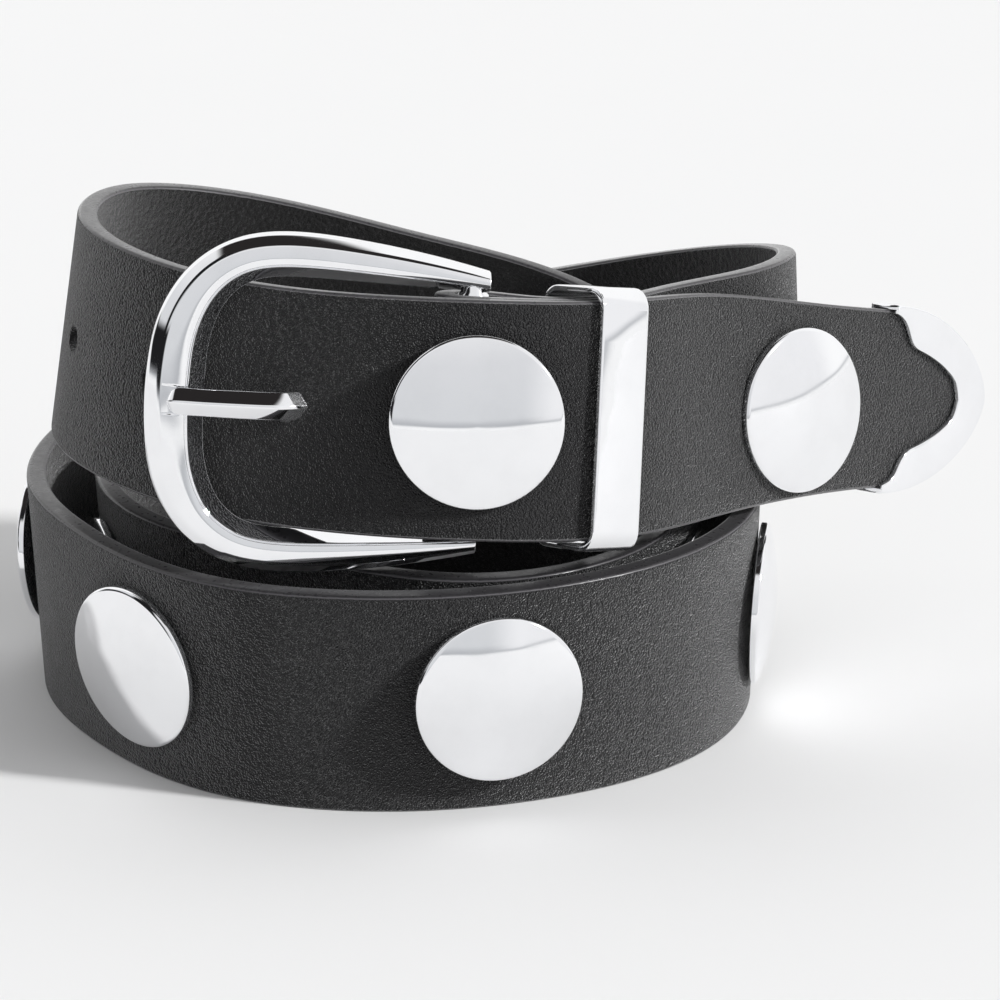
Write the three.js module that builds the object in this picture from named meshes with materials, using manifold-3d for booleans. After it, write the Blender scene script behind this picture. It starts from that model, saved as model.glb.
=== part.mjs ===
import * as THREE from 'three';
import Module from 'manifold-3d';
import { mergeVertices } from 'three/addons/utils/BufferGeometryUtils.js';

// A studded leather belt, fastened and coiled in three turns, standing on its edge.
// Millimetres, +Z up, the floor at z = 0, the buckle at the front (-Y).

const wasm = await Module();
wasm.setup();

// Strap
const STRAP_WIDTH = 38;
const STRAP_THICKNESS = 3.4;
const EDGE_ROUND = 0.9;
const STATION_STEP = 7.5;
const FIT_GAP = 0.35;
const FLOOR_TRIM = 0.15;

// Coil
const COIL_WIDTH = 124;
const COIL_DEPTH = 116;
const RESTING = 0;

// Buckle
const HEEL_BAR_DIAMETER = 5;
const HEEL_FROM_TIP = 119.8;
const FRAME_LENGTH = 51;
const TOE_LIFT = 7;
const FRAME_HEIGHT = 54;
const FRAME_THICKNESS = 4.7;
const PRONG_WIDTH = 4.5;
const PRONG_THICKNESS = 2.3;
const PRONG_LOOP_WALL = 2;
const FOLD_BACK_LENGTH = 46;
const FOLD_CLOSES_IN = 13.5;

// Holes and studs
const HOLE_DIAMETER = 4.3;
const HOLE_PITCH = 25;
const PRONG_HOLE_FROM_TIP = 149.5;
const HOLE_COUNT = 4;
const STUD_DIAMETER = 27.5;
const STUD_HEIGHT = 3.5;
const STUD_WALL = 1.3;
const STUD_LIP = 0.3;
const STUD_POST_DIAMETER = 3.6;
const STUD_SIDES = 20;
const TIP_STUDS_FROM_END = [119, 50];
const FIRST_STUD_FROM_BUCKLE = 136.5;
const LAST_STUD_FROM_TIP = 323;
const BODY_STUD_COUNT = 12;

// Keeper and tip
const BUCKLE_END_STRAIGHT = 12;
const KEEPER_FROM_TIP = 96.9;
const KEEPER_LENGTH = 9.2;
const KEEPER_METAL = 1;
const KEEPER_GAP = 1;
const KEEPER_CORNER = 2.6;
const KEEPER_SOFTEN = 0.4;
const KEEPER_SLANT = 3.5;
const CAP_LENGTH = 26;
const CAP_METAL = 0.9;
const CAP_SOFTEN = 0.5;

const LEATHER = new THREE.MeshStandardMaterial({ color: 0x1b1b1d, roughness: 0.55, metalness: 0 });
const CHROME = new THREE.MeshStandardMaterial({ color: 0xd2d3d6, roughness: 0.08, metalness: 1 });

// Route of the strap's centre line from behind the keeper to the tip, anticlockwise seen from above.
// x is a share of COIL_WIDTH, y of COIL_DEPTH, z of STRAP_WIDTH (RESTING puts the lower edge on
// the floor), lean is degrees outward of the top edge, width is a share of STRAP_WIDTH.
const ROUTE_COLUMNS = ['x', 'y', 'z', 'lean', 'width'];
const ROUTE = [
  [0.392, -0.207, 1.555, -7, 1],
  [0.5, -0.085, 1.535, -5, 1],
  [0.552, 0.06, 1.495, -3, 1],
  [0.52, 0.24, 1.39, 0, 1],
  [0.36, 0.43, 1.19, 0, 1],
  [0.1, 0.52, 0.97, 0, 1],
  [-0.16, 0.515, 0.77, 0, 1],
  [-0.375, 0.4, 0.6, 2, 1],
  [-0.47, 0.205, 0.52, 3, 1],
  [-0.475, 0.02, RESTING, 3, 1],
  [-0.39, -0.215, RESTING, 4, 1],
  [-0.2, -0.44, RESTING, 6, 1],
  [-0.01, -0.495, RESTING, 6, 1],
  [0.22, -0.445, RESTING, 6, 1],
  [0.405, -0.29, RESTING, 4, 1],
  [0.49, -0.06, RESTING, 2, 1],
  [0.47, 0.15, RESTING, 0, 1],
  [0.32, 0.37, RESTING, 0, 1],
  [0.09, 0.45, RESTING, 0, 1],
  [-0.17, 0.425, RESTING, 0, 1],
  [-0.335, 0.3, RESTING, 3, 1],
  [-0.385, 0.12, RESTING, 4, 1],
  [-0.365, -0.03, RESTING, 4, 1],
  [-0.28, -0.19, RESTING, 4, 1],
  [-0.15, -0.29, RESTING, 4, 1],
  [-0.02, -0.375, RESTING, 6, 1],
  [0.13, -0.42, RESTING, 6, 1],
  [0.285, -0.345, RESTING, 4, 1],
  [0.4, -0.12, 0.57, 2, 1],
  [0.4, 0.11, 0.87, 0, 1],
  [0.255, 0.28, 1.185, 0, 1],
  [0.02, 0.345, 1.375, 0, 1],
  [-0.22, 0.33, 1.575, -3, 1],
  [-0.365, 0.24, 1.685, -6, 1],
  [-0.422, 0.075, 1.73, -8, 1],
  [-0.39, -0.135, 1.734, -9, 1],
  [-0.27, -0.295, 1.702, -9, 1],
  [-0.08, -0.405, 1.683, -9, 1],
  [0.115, -0.455, 1.686, -9, 1],
  [0.28, -0.4, 1.636, -9, 0.995],
  [0.42, -0.237, 1.552, -7, 0.965],
  [0.56, -0.07, 1.434, -6, 0.86],
  [0.69, 0.07, 1.318, -5, 0.797],
  [0.822, 0.205, 1.2, -5, 0.775],
];

// Outline of the buckle frame, upper half, from the heel bar round to the middle of the toe.
// The u columns are shares of FRAME_LENGTH, the v columns of half FRAME_HEIGHT.
const FRAME_COLUMNS = ['outerU', 'outerV', 'innerU', 'innerV'];
const FRAME_OUTLINE = [
  [-0.045, 0.835, -0.045, 0.71],
  [0.15, 0.915, 0.15, 0.72],
  [0.4, 0.985, 0.39, 0.735],
  [0.61, 1, 0.57, 0.74],
  [0.77, 0.925, 0.685, 0.7],
  [0.89, 0.75, 0.765, 0.565],
  [0.965, 0.5, 0.805, 0.36],
  [0.993, 0.245, 0.815, 0.175],
  [1, 0, 0.817, 0],
];

// Bevelled section of the frame: across is 0 at the outer edge and 1 at the inner edge,
// rise is a share of FRAME_THICKNESS from the back.
const BEVEL_COLUMNS = ['across', 'rise'];
const FRAME_SECTION = [
  [0, 0],
  [0, 0.55],
  [0.2, 0.9],
  [0.5, 1],
  [0.74, 0.93],
  [1, 0.3],
  [1, 0],
];

// Side view of the prong from the heel bar to its tip: reach is a share of FRAME_LENGTH, rise is
// in front of the frame's middle plane as a share of FRAME_THICKNESS, width a share of PRONG_WIDTH.
const PRONG_COLUMNS = ['reach', 'rise', 'width'];
const PRONG_SIDE = [
  [0.06, 0, 1],
  [0.23, -0.04, 1],
  [0.4, -0.13, 1],
  [0.48, 0.065, 1],
  [0.57, 0.62, 1],
  [0.69, 0.915, 1],
  [0.84, 0.85, 0.95],
  [0.925, 0.68, 0.86],
  [0.945, 0.6, 0.5],
];

// Studs that sit a little off their even spacing or aslant on their posts: along, across and lift
// are shares of STUD_DIAMETER, tip is degrees that the face looks up, turn degrees towards the tip.
const SEAT_COLUMNS = ['stud', 'along', 'across', 'lift', 'tip', 'turn'];
const LOOSE_STUDS = [
  [3, -0.07, 0, 0, 0, 0],
  [4, 0.08, 0.03, 0.02, 0, 5],
  [5, 0.01, 0.04, 0.03, 5, 0],
  [6, 0.15, 0, 0, 0, 0],
  [14, 0, -0.05, 0.03, 0, -4.5],
];

// Opening of the end cap's face plates: reach is a share of CAP_LENGTH, half a share of the half width.
const ARCH_COLUMNS = ['reach', 'half'];
const CAP_ARCH = [
  [-0.1, 1],
  [0.03, 0.97],
  [0.12, 0.86],
  [0.2, 0.64],
  [0.32, 0.54],
  [0.48, 0.43],
  [0.6, 0.31],
  [0.68, 0.18],
  [0.715, 0],
];

const named = (columns, rows) => rows.map((row) => Object.fromEntries(columns.map((c, i) => [c, row[i]])));
const radians = (degrees) => (degrees * Math.PI) / 180;

/** Natural cubic spline through rows of values, one knot for each row. */
class Spline {
  constructor(knots, rows) {
    this.knots = knots;
    this.rows = rows;
    this.bends = rows[0].map((_, column) => Spline.secondDerivatives(knots, rows.map((r) => r[column])));
  }

  static secondDerivatives(knots, values) {
    const n = values.length;
    const bend = new Array(n).fill(0);
    const carry = new Array(n).fill(0);
    for (let i = 1; i < n - 1; i += 1) {
      const before = knots[i] - knots[i - 1];
      const after = knots[i + 1] - knots[i];
      const slopeChange = (values[i + 1] - values[i]) / after - (values[i] - values[i - 1]) / before;
      const pivot = 2 * (before + after) - before * carry[i - 1];
      carry[i] = after / pivot;
      bend[i] = (6 * slopeChange - before * bend[i - 1]) / pivot;
    }
    for (let i = n - 2; i > 0; i -= 1) bend[i] -= carry[i] * bend[i + 1];
    return bend;
  }

  at(knot) {
    const { knots, rows, bends } = this;
    let i = 1;
    while (i < knots.length - 1 && knots[i] < knot) i += 1;
    const step = knots[i] - knots[i - 1];
    const a = (knots[i] - knot) / step;
    const b = 1 - a;
    return rows[i].map((value, c) => {
      const bent = (a ** 3 - a) * bends[c][i - 1] + (b ** 3 - b) * bends[c][i];
      return a * rows[i - 1][c] + b * value + (bent * step * step) / 6;
    });
  }
}

/** Height of the centre line that puts the strap's lower edge just through the floor plane. */
function restingHeight(lean) {
  const reach = (STRAP_WIDTH / 2) * Math.cos(radians(lean));
  const corner = (STRAP_THICKNESS / 2 - EDGE_ROUND) * Math.sin(radians(Math.abs(lean)));
  return reach + corner - FLOOR_TRIM;
}

/** A strap centre line: frames of centre, along, across, outward and half width at a distance. */
class Route {
  constructor(rows) {
    const knots = [0];
    for (let i = 1; i < rows.length; i += 1) {
      knots.push(knots[i - 1] + Math.hypot(...[0, 1, 2].map((c) => rows[i][c] - rows[i - 1][c])));
    }
    this.spline = new Spline(knots, rows);
    this.length = knots[knots.length - 1];
  }

  frame(distance) {
    const [x, y, z, lean, halfWidth] = this.spline.at(distance);
    const ahead = this.spline.at(distance + 0.05);
    const behind = this.spline.at(distance - 0.05);
    const along = new THREE.Vector3(...[0, 1, 2].map((c) => ahead[c] - behind[c])).normalize();
    const upright = new THREE.Vector3(0, 0, 1).addScaledVector(along, -along.z).normalize();
    const level = new THREE.Vector3().crossVectors(along, upright);
    const tilt = radians(lean);
    const across = upright.clone().multiplyScalar(Math.cos(tilt)).addScaledVector(level, Math.sin(tilt));
    const outward = level.clone().multiplyScalar(Math.cos(tilt)).addScaledVector(upright, -Math.sin(tilt));
    return { centre: new THREE.Vector3(x, y, z), along, across, outward, halfWidth };
  }
}

const place = (f, u, v, n) => f.centre.clone().addScaledVector(f.along, u)
  .addScaledVector(f.across, v).addScaledVector(f.outward, n);

const tableRows = named(ROUTE_COLUMNS, ROUTE).map((row) => [
  row.x * COIL_WIDTH,
  row.y * COIL_DEPTH,
  row.z === RESTING ? restingHeight(row.lean) : row.z * STRAP_WIDTH,
  row.lean,
  (row.width * STRAP_WIDTH) / 2,
]);
const LAYER_PITCH = STRAP_THICKNESS + FIT_GAP;

// Behind the tip run the buckle end lies one layer inside it, from the heel bar to past the keeper.
const tipRun = new Route(tableRows);
const STACKED_FROM_TIP = [
  HEEL_FROM_TIP,
  HEEL_FROM_TIP - BUCKLE_END_STRAIGHT,
  KEEPER_FROM_TIP + 0.55 * KEEPER_LENGTH,
  KEEPER_FROM_TIP - 0.65 * KEEPER_LENGTH,
];
const stackedRows = STACKED_FROM_TIP.map((fromTip) => {
  const f = tipRun.frame(tipRun.length - fromTip);
  const p = place(f, 0, 0, -LAYER_PITCH);
  return [p.x, p.y, p.z, tableRows[0][3] - 1, STRAP_WIDTH / 2];
});
const route = new Route([...stackedRows, ...tableRows]);

/** Closed body through rings of equal count, its ends closed by a fan round each ring's middle. */
function loft(rings) {
  const count = rings[0].length;
  const points = rings.flat();
  const faces = [];
  for (let i = 0; i < rings.length - 1; i += 1) {
    for (let j = 0; j < count; j += 1) {
      const a = i * count + j;
      const b = i * count + ((j + 1) % count);
      faces.push([a, b, a + count], [b, b + count, a + count]);
    }
  }
  [[0, 0], [(rings.length - 1) * count, 1]].forEach(([start, last]) => {
    const middle = points.length;
    const sum = rings[last ? rings.length - 1 : 0].reduce((m, p) => m.add(p), new THREE.Vector3());
    points.push(sum.divideScalar(count));
    for (let j = 0; j < count; j += 1) {
      const a = start + j;
      const b = start + ((j + 1) % count);
      faces.push(last ? [a, b, middle] : [b, a, middle]);
    }
  });
  return solid(points, faces);
}

/** Manifold from points and faces, turned outward if its volume comes out negative. */
function solid(points, faces) {
  const volume = faces.reduce((sum, [a, b, c]) => {
    const normal = new THREE.Vector3().crossVectors(points[b], points[c]);
    return sum + points[a].dot(normal);
  }, 0);
  const outward = volume > 0 ? faces : faces.map(([a, b, c]) => [a, c, b]);
  const mesh = new wasm.Mesh({
    numProp: 3,
    vertProperties: new Float32Array(points.flatMap((p) => [p.x, p.y, p.z])),
    triVerts: new Uint32Array(outward.flat()),
  });
  return new wasm.Manifold(mesh);
}

/** Body of revolution about an axis from profile rows of [radius, height], first and last at radius 0. */
function turned(profile, segments, origin, axis) {
  const side = new THREE.Vector3(axis.y, axis.z, axis.x).cross(axis).normalize();
  const other = new THREE.Vector3().crossVectors(axis, side);
  const points = [];
  const faces = [];
  const ringStart = profile.map(([radius, height]) => {
    const start = points.length;
    const count = radius > 0 ? segments : 1;
    for (let j = 0; j < count; j += 1) {
      const angle = (2 * Math.PI * j) / segments;
      points.push(origin.clone().addScaledVector(axis, height)
        .addScaledVector(side, radius * Math.cos(angle))
        .addScaledVector(other, radius * Math.sin(angle)));
    }
    return start;
  });
  for (let i = 0; i < profile.length - 1; i += 1) {
    for (let j = 0; j < segments; j += 1) {
      const k = (j + 1) % segments;
      const [a, b] = profile[i][0] > 0 ? [ringStart[i] + j, ringStart[i] + k] : [ringStart[i], ringStart[i]];
      const next = ringStart[i + 1];
      const [c, d] = profile[i + 1][0] > 0 ? [next + j, next + k] : [next, next];
      if (a !== b) faces.push([a, b, c]);
      if (c !== d) faces.push([b, d, c]);
    }
  }
  return solid(points, faces);
}

/** Corner points of the strap's section with its long edges chamfered, on one frame. */
function strapRing(f, inset, swell) {
  const half = f.halfWidth + swell;
  const thick = STRAP_THICKNESS / 2 + swell;
  const r = Math.min(EDGE_ROUND, half * 0.4);
  const corners = [
    [half, thick - r], [half - r, thick], [r - half, thick], [-half, thick - r],
    [-half, r - thick], [r - half, -thick], [half - r, -thick], [half, r - thick],
  ];
  return corners.map(([v, n]) => place(f, 0, v, n - inset));
}

const FOLD_RADIUS = (HEEL_BAR_DIAMETER + STRAP_THICKNESS) / 2 + FIT_GAP;

/** How far the turned-back layer lies inside the buckle end: it closes up behind the heel bar. */
function foldInset(distance) {
  const t = Math.min(distance / FOLD_CLOSES_IN, 1);
  const ease = t * t * (3 - 2 * t);
  return 2 * FOLD_RADIUS + (LAYER_PITCH - 2 * FOLD_RADIUS) * ease;
}

/** Half width share of the pointed end, from 1 where the cap begins to 0 at the point. */
const pointed = (share) => (1 - Math.min(share, 1) ** 2) ** 0.6;

/** Rings of the whole strap: turned-back layer, fold round the heel bar, three turns, pointed end. */
function strapRings(swell) {
  const rings = [];
  for (let s = FOLD_BACK_LENGTH; s > 0.5; s -= STATION_STEP * 0.75) {
    const f = route.frame(s);
    rings.push(strapRing({ ...f, outward: f.outward.clone().negate() }, -foldInset(s), swell));
  }
  const heel = route.frame(0);
  const FOLD_STEPS = 8;
  for (let i = 0; i <= FOLD_STEPS; i += 1) {
    const angle = Math.PI * (1 - i / FOLD_STEPS);
    const turn = {
      ...heel,
      centre: place(heel, -FOLD_RADIUS * Math.sin(angle), 0, FOLD_RADIUS * (Math.cos(angle) - 1)),
      outward: heel.outward.clone().multiplyScalar(Math.cos(angle))
        .addScaledVector(heel.along, -Math.sin(angle)),
    };
    rings.push(strapRing(turn, 0, swell));
  }
  const straightEnd = route.length - CAP_LENGTH + CAP_METAL;
  const steps = Math.round(straightEnd / STATION_STEP);
  for (let i = 1; i <= steps; i += 1) rings.push(strapRing(route.frame((straightEnd * i) / steps), 0, swell));
  const pointLength = route.length - straightEnd - CAP_METAL - FIT_GAP;
  [0.25, 0.45, 0.62, 0.76, 0.87, 0.95, 0.99].forEach((share) => {
    const f = route.frame(straightEnd + share * (pointLength + swell));
    f.halfWidth *= pointed(share);
    rings.push(strapRing(f, 0, swell));
  });
  return rings;
}

/** Round post or hole through the strap on a frame. */
function through(f, diameter, segments) {
  const half = STRAP_THICKNESS;
  return turned([[0, -half], [diameter / 2, -half], [diameter / 2, half], [0, half]], segments, f.centre, f.outward);
}

const heelFrame = route.frame(0);
const heelCentre = place(heelFrame, 0, 0, -FOLD_RADIUS);
const toeStrap = route.frame(route.length - HEEL_FROM_TIP - FRAME_LENGTH * 0.9);
const toeCentre = place(toeStrap, 0, 0, STRAP_THICKNESS / 2 + TOE_LIFT + FRAME_THICKNESS / 2);
const buckleAxis = {
  centre: heelCentre,
  along: toeCentre.clone().sub(heelCentre).normalize(),
  across: heelFrame.across.clone(),
};
buckleAxis.across.addScaledVector(buckleAxis.along, -buckleAxis.across.dot(buckleAxis.along)).normalize();
buckleAxis.outward = new THREE.Vector3().crossVectors(buckleAxis.across, buckleAxis.along);

/** Buckle frame: a bevelled bar swept round the D outline, closed by the round heel bar. */
function buckleFrame() {
  const half = named(FRAME_COLUMNS, FRAME_OUTLINE);
  const mirrored = half.slice(0, -1).reverse().map((r) => ({ ...r, outerV: -r.outerV, innerV: -r.innerV }));
  const rows = [...half, ...mirrored].map((r) => [
    r.outerU * FRAME_LENGTH, (r.outerV * FRAME_HEIGHT) / 2,
    r.innerU * FRAME_LENGTH, (r.innerV * FRAME_HEIGHT) / 2,
  ]);
  const outline = new Spline(rows.map((_, i) => i), rows);
  const section = named(BEVEL_COLUMNS, FRAME_SECTION);
  const rings = [];
  const STATIONS = 44;
  for (let i = 0; i <= STATIONS; i += 1) {
    const [ou, ov, iu, iv] = outline.at((i * (rows.length - 1)) / STATIONS);
    rings.push(section.map(({ across, rise }) => place(
      buckleAxis,
      ou + (iu - ou) * across,
      ov + (iv - ov) * across,
      (rise - 0.5) * FRAME_THICKNESS,
    )));
  }
  const reach = (FRAME_HEIGHT / 2) * 0.78;
  const radius = HEEL_BAR_DIAMETER / 2;
  const bar = turned([[0, -reach], [radius, -reach], [radius, reach], [0, reach]], 16, heelCentre, heelFrame.across);
  return loft(rings).add(bar);
}

/** Prong with its loop round the heel bar; swell makes the envelope that is cut from its neighbours. */
function prong(swell) {
  const side = named(PRONG_COLUMNS, PRONG_SIDE);
  const rows = side.map((r) => [r.reach * FRAME_LENGTH, r.rise * FRAME_THICKNESS, r.width]);
  const path = new Spline(rows.map((r) => r[0]), rows);
  const rings = [];
  const first = rows[0][0];
  const last = rows[rows.length - 1][0];
  const STATIONS = 22;
  for (let i = 0; i <= STATIONS; i += 1) {
    const at = first + ((last - first) * i) / STATIONS;
    const [u, n, width] = path.at(at);
    const [u2, n2] = path.at(at + 0.1);
    const slope = new THREE.Vector2(u2 - u, n2 - n).normalize();
    const w = (PRONG_WIDTH / 2) * width + swell;
    const t = PRONG_THICKNESS / 2 + swell;
    const corners = [[w, -t], [w, t * 0.1], [w * 0.45, t], [-w * 0.45, t], [-w, t * 0.1], [-w, -t]];
    rings.push(corners.map(([v, rise]) => place(buckleAxis, u - slope.y * rise, v, n + slope.x * rise)));
  }
  const inner = HEEL_BAR_DIAMETER / 2 + FIT_GAP;
  const outer = inner + PRONG_LOOP_WALL + swell;
  const w = PRONG_WIDTH / 2 + swell;
  const profile = (r, h) => [[0, -h], [r, -h], [r, h], [0, h]];
  const loop = turned(profile(outer, w), 20, heelCentre, heelFrame.across);
  const body = loft(rings).add(loop);
  return swell > 0 ? body : body.subtract(turned(profile(inner, w + 1), 16, heelCentre, heelFrame.across));
}

/** Rounded box on a frame, from u0 to u1 along it, with its end edges broken by soften. */
function sleeve(f, u0, u1, halfV, nBack, nFront, round, soften) {
  const ring = (u, inset) => {
    const h = halfV - inset;
    const back = nBack + inset;
    const front = nFront - inset;
    const corners = [];
    [[h, front, 0], [-h, front, 1], [-h, back, 2], [h, back, 3]].forEach(([v, n, quarter]) => {
      for (let k = 0; k <= 3; k += 1) {
        const angle = (Math.PI / 2) * (quarter + k / 3);
        const cv = v - Math.sign(v) * round;
        const cn = n + (n === front ? -round : round);
        corners.push(place(f, u, cv + round * Math.cos(angle), cn + round * Math.sin(angle)));
      }
    });
    return corners;
  };
  if (soften === 0) return loft([ring(u0, 0), ring(u1, 0)]);
  return loft([ring(u0, soften), ring(u0 + soften, 0), ring(u1 - soften, 0), ring(u1, soften)]);
}

/** Turns two axes of a frame towards each other: the first leans towards the second by degrees. */
function turn(f, first, second, degrees) {
  const c = Math.cos(radians(degrees));
  const s = Math.sin(radians(degrees));
  const a = f[first].clone();
  const b = f[second].clone();
  f[first] = a.clone().multiplyScalar(c).addScaledVector(b, s);
  f[second] = b.clone().multiplyScalar(c).addScaledVector(a, -s);
}

/** Keeper: a flat metal ring round the tip run, the buckle end and the turned-back layer. */
function keeper() {
  const f = route.frame(route.length - KEEPER_FROM_TIP);
  turn(f, 'across', 'along', KEEPER_SLANT);
  const front = STRAP_THICKNESS / 2 + KEEPER_GAP;
  const back = -(STRAP_THICKNESS / 2 + 2 * LAYER_PITCH + KEEPER_GAP * 1.9);
  const half = STRAP_WIDTH / 2 + KEEPER_GAP;
  const m = KEEPER_METAL;
  const reach = KEEPER_LENGTH / 2;
  const outer = sleeve(f, -reach, reach, half + m, back - m, front + m, KEEPER_CORNER + m, KEEPER_SOFTEN);
  return outer.subtract(sleeve(f, -reach - m, reach + m, half, back, front, KEEPER_CORNER, 0));
}

/** Flat body on a frame from a half outline of [u, half width] rows, thick from -t to t. */
function plate(f, halfOutline, t, soften) {
  const ring = (n, inset) => {
    const upper = halfOutline.map(([u, v]) => place(f, u - inset * (v < 1 ? 1 : 0), Math.max(v - inset, 0), n));
    const lower = halfOutline.slice(1, -1).reverse()
      .map(([u, v]) => place(f, u, -Math.max(v - inset, 0), n));
    const start = place(f, halfOutline[0][0], -Math.max(halfOutline[0][1] - inset, 0), n);
    return [...upper, ...lower, start];
  };
  if (soften === 0) return loft([ring(-t, 0), ring(t, 0)]);
  return loft([ring(-t, soften), ring(-t + soften, 0), ring(t - soften, 0), ring(t, soften)]);
}

/** End cap: a metal shell over the pointed end whose face plates open in an arch. */
function tipCap(strapEnvelope) {
  const f = route.frame(route.length - CAP_LENGTH / 2);
  const wall = CAP_METAL + FIT_GAP;
  const base = f.halfWidth + wall;
  const outline = [];
  const POINTS = 14;
  for (let i = 0; i <= POINTS; i += 1) {
    const share = Math.sin((Math.PI / 2) * (i / POINTS));
    outline.push([(share - 0.5) * CAP_LENGTH, base * pointed(share)]);
  }
  const shell = plate(f, outline, STRAP_THICKNESS / 2 + wall, CAP_SOFTEN);
  const arch = named(ARCH_COLUMNS, CAP_ARCH).map(({ reach, half }) => [
    (reach - 0.5) * CAP_LENGTH,
    half * (base - wall),
  ]);
  return shell.subtract(strapEnvelope).subtract(plate(f, arch, STRAP_THICKNESS * 2, 0));
}

/** Frame of each stud: evenly spaced ones on the body, two on the tip run, some sitting loosely. */
function studFrames() {
  const last = route.length - LAST_STUD_FROM_TIP;
  const pitch = (last - FIRST_STUD_FROM_BUCKLE) / (BODY_STUD_COUNT - 1);
  const body = Array.from({ length: BODY_STUD_COUNT }, (_, i) => FIRST_STUD_FROM_BUCKLE + pitch * i);
  const tip = TIP_STUDS_FROM_END.map((fromEnd) => route.length - fromEnd);
  const loose = named(SEAT_COLUMNS, LOOSE_STUDS);
  return [...body, ...tip].map((distance, i) => {
    const seat = loose.find((row) => row.stud === i + 1);
    if (!seat) return route.frame(distance);
    const f = route.frame(distance + seat.along * STUD_DIAMETER);
    f.centre = place(f, 0, seat.across * STUD_DIAMETER, seat.lift * STUD_DIAMETER);
    turn(f, 'outward', 'across', seat.tip);
    turn(f, 'outward', 'along', seat.turn);
    return f;
  });
}

/** Stud: a low dome on a short wall, with a post that ends flush inside the strap. */
function stud(f) {
  const r = STUD_DIAMETER / 2;
  const seat = STRAP_THICKNESS / 2 + FIT_GAP;
  const rise = STUD_HEIGHT - STUD_WALL;
  const dome = [0.97, 0.8, 0.5].map((share) => [r * share, seat + STUD_WALL + rise * (1 - share ** 2)]);
  const post = STUD_POST_DIAMETER / 2;
  const foot = -STRAP_THICKNESS / 2 + FIT_GAP;
  const profile = [
    [0, foot], [post, foot], [post, seat], [r, seat], [r, seat + STUD_WALL - STUD_LIP],
    ...dome, [0, seat + STUD_HEIGHT],
  ];
  return turned(profile, STUD_SIDES, f.centre, f.outward);
}

/** Flat seat pressed into the leather under a stud, where the strap bends up towards its rim. */
function studSeat(f) {
  const r = STUD_DIAMETER / 2 + FIT_GAP;
  const low = STRAP_THICKNESS / 2 + FIT_GAP / 2;
  return turned([[0, low], [r, low], [r, low + STUD_WALL], [0, low + STUD_WALL]], STUD_SIDES, f.centre, f.outward);
}

function toMesh(name, body, material) {
  const { numProp, vertProperties, triVerts } = body.getMesh();
  const positions = new Float32Array((vertProperties.length / numProp) * 3);
  for (let i = 0; i < positions.length / 3; i += 1) {
    for (let c = 0; c < 3; c += 1) positions[3 * i + c] = vertProperties[i * numProp + c];
  }
  let geometry = new THREE.BufferGeometry();
  geometry.setAttribute('position', new THREE.BufferAttribute(positions, 3));
  geometry.setIndex(new THREE.BufferAttribute(new Uint32Array(triVerts), 1));
  geometry = mergeVertices(geometry, 1e-5);
  geometry.computeVertexNormals();
  const mesh = new THREE.Mesh(geometry, material);
  mesh.name = name;
  return mesh;
}

const floor = solid(
  [[-1, -1, -1], [1, -1, -1], [1, 1, -1], [-1, 1, -1], [-1, -1, 0], [1, -1, 0], [1, 1, 0], [-1, 1, 0]]
    .map(([x, y, z]) => new THREE.Vector3(x * COIL_WIDTH, y * COIL_DEPTH, z * STRAP_WIDTH)),
  [[0, 2, 1], [0, 3, 2], [4, 5, 6], [4, 6, 7], [0, 1, 5], [0, 5, 4], [1, 2, 6], [1, 6, 5],
    [2, 3, 7], [2, 7, 6], [3, 0, 4], [3, 4, 7]],
);

let strap = loft(strapRings(0)).subtract(floor).subtract(prong(FIT_GAP));
for (let i = 1; i <= HOLE_COUNT; i += 1) {
  const f = route.frame(route.length - PRONG_HOLE_FROM_TIP - HOLE_PITCH * i);
  strap = strap.subtract(through(f, HOLE_DIAMETER, 12));
}
const studs = studFrames();
studs.forEach((f) => {
  strap = strap.subtract(through(f, STUD_POST_DIAMETER + 2 * FIT_GAP, 8)).subtract(studSeat(f));
});

const belt = new THREE.Group();
belt.name = 'studded_belt';
belt.add(toMesh('strap', strap, LEATHER));
belt.add(toMesh('buckle_frame', buckleFrame().subtract(prong(FIT_GAP * 0.6)), CHROME));
belt.add(toMesh('buckle_prong', prong(0), CHROME));
belt.add(toMesh('keeper', keeper(), CHROME));
belt.add(toMesh('tip_cap', tipCap(loft(strapRings(FIT_GAP))), CHROME));
studs.forEach((f, i) => belt.add(toMesh(`stud_${String(i + 1).padStart(2, '0')}`, stud(f), CHROME)));

// The origin is the middle of the bounding box, on the floor.
const box = new THREE.Box3().setFromObject(belt);
const middle = box.getCenter(new THREE.Vector3());
belt.children.forEach((mesh) => mesh.geometry.translate(-middle.x, -middle.y, -box.min.z));

export default belt;
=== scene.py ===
import math
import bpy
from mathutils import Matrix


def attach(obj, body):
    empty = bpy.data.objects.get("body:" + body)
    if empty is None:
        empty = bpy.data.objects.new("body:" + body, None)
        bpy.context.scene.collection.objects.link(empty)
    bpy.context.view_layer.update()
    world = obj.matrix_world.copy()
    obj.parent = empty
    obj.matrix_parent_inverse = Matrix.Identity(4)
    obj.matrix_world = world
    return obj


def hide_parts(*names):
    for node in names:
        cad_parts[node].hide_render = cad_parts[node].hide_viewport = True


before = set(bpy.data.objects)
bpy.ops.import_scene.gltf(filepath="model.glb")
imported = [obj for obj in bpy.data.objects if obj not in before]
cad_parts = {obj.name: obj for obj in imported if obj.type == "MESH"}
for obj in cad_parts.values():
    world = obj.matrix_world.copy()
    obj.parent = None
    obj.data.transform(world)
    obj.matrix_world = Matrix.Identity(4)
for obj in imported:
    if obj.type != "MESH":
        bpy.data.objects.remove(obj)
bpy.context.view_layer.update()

from types import SimpleNamespace

import bmesh
import bpy
import numpy as np

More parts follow.
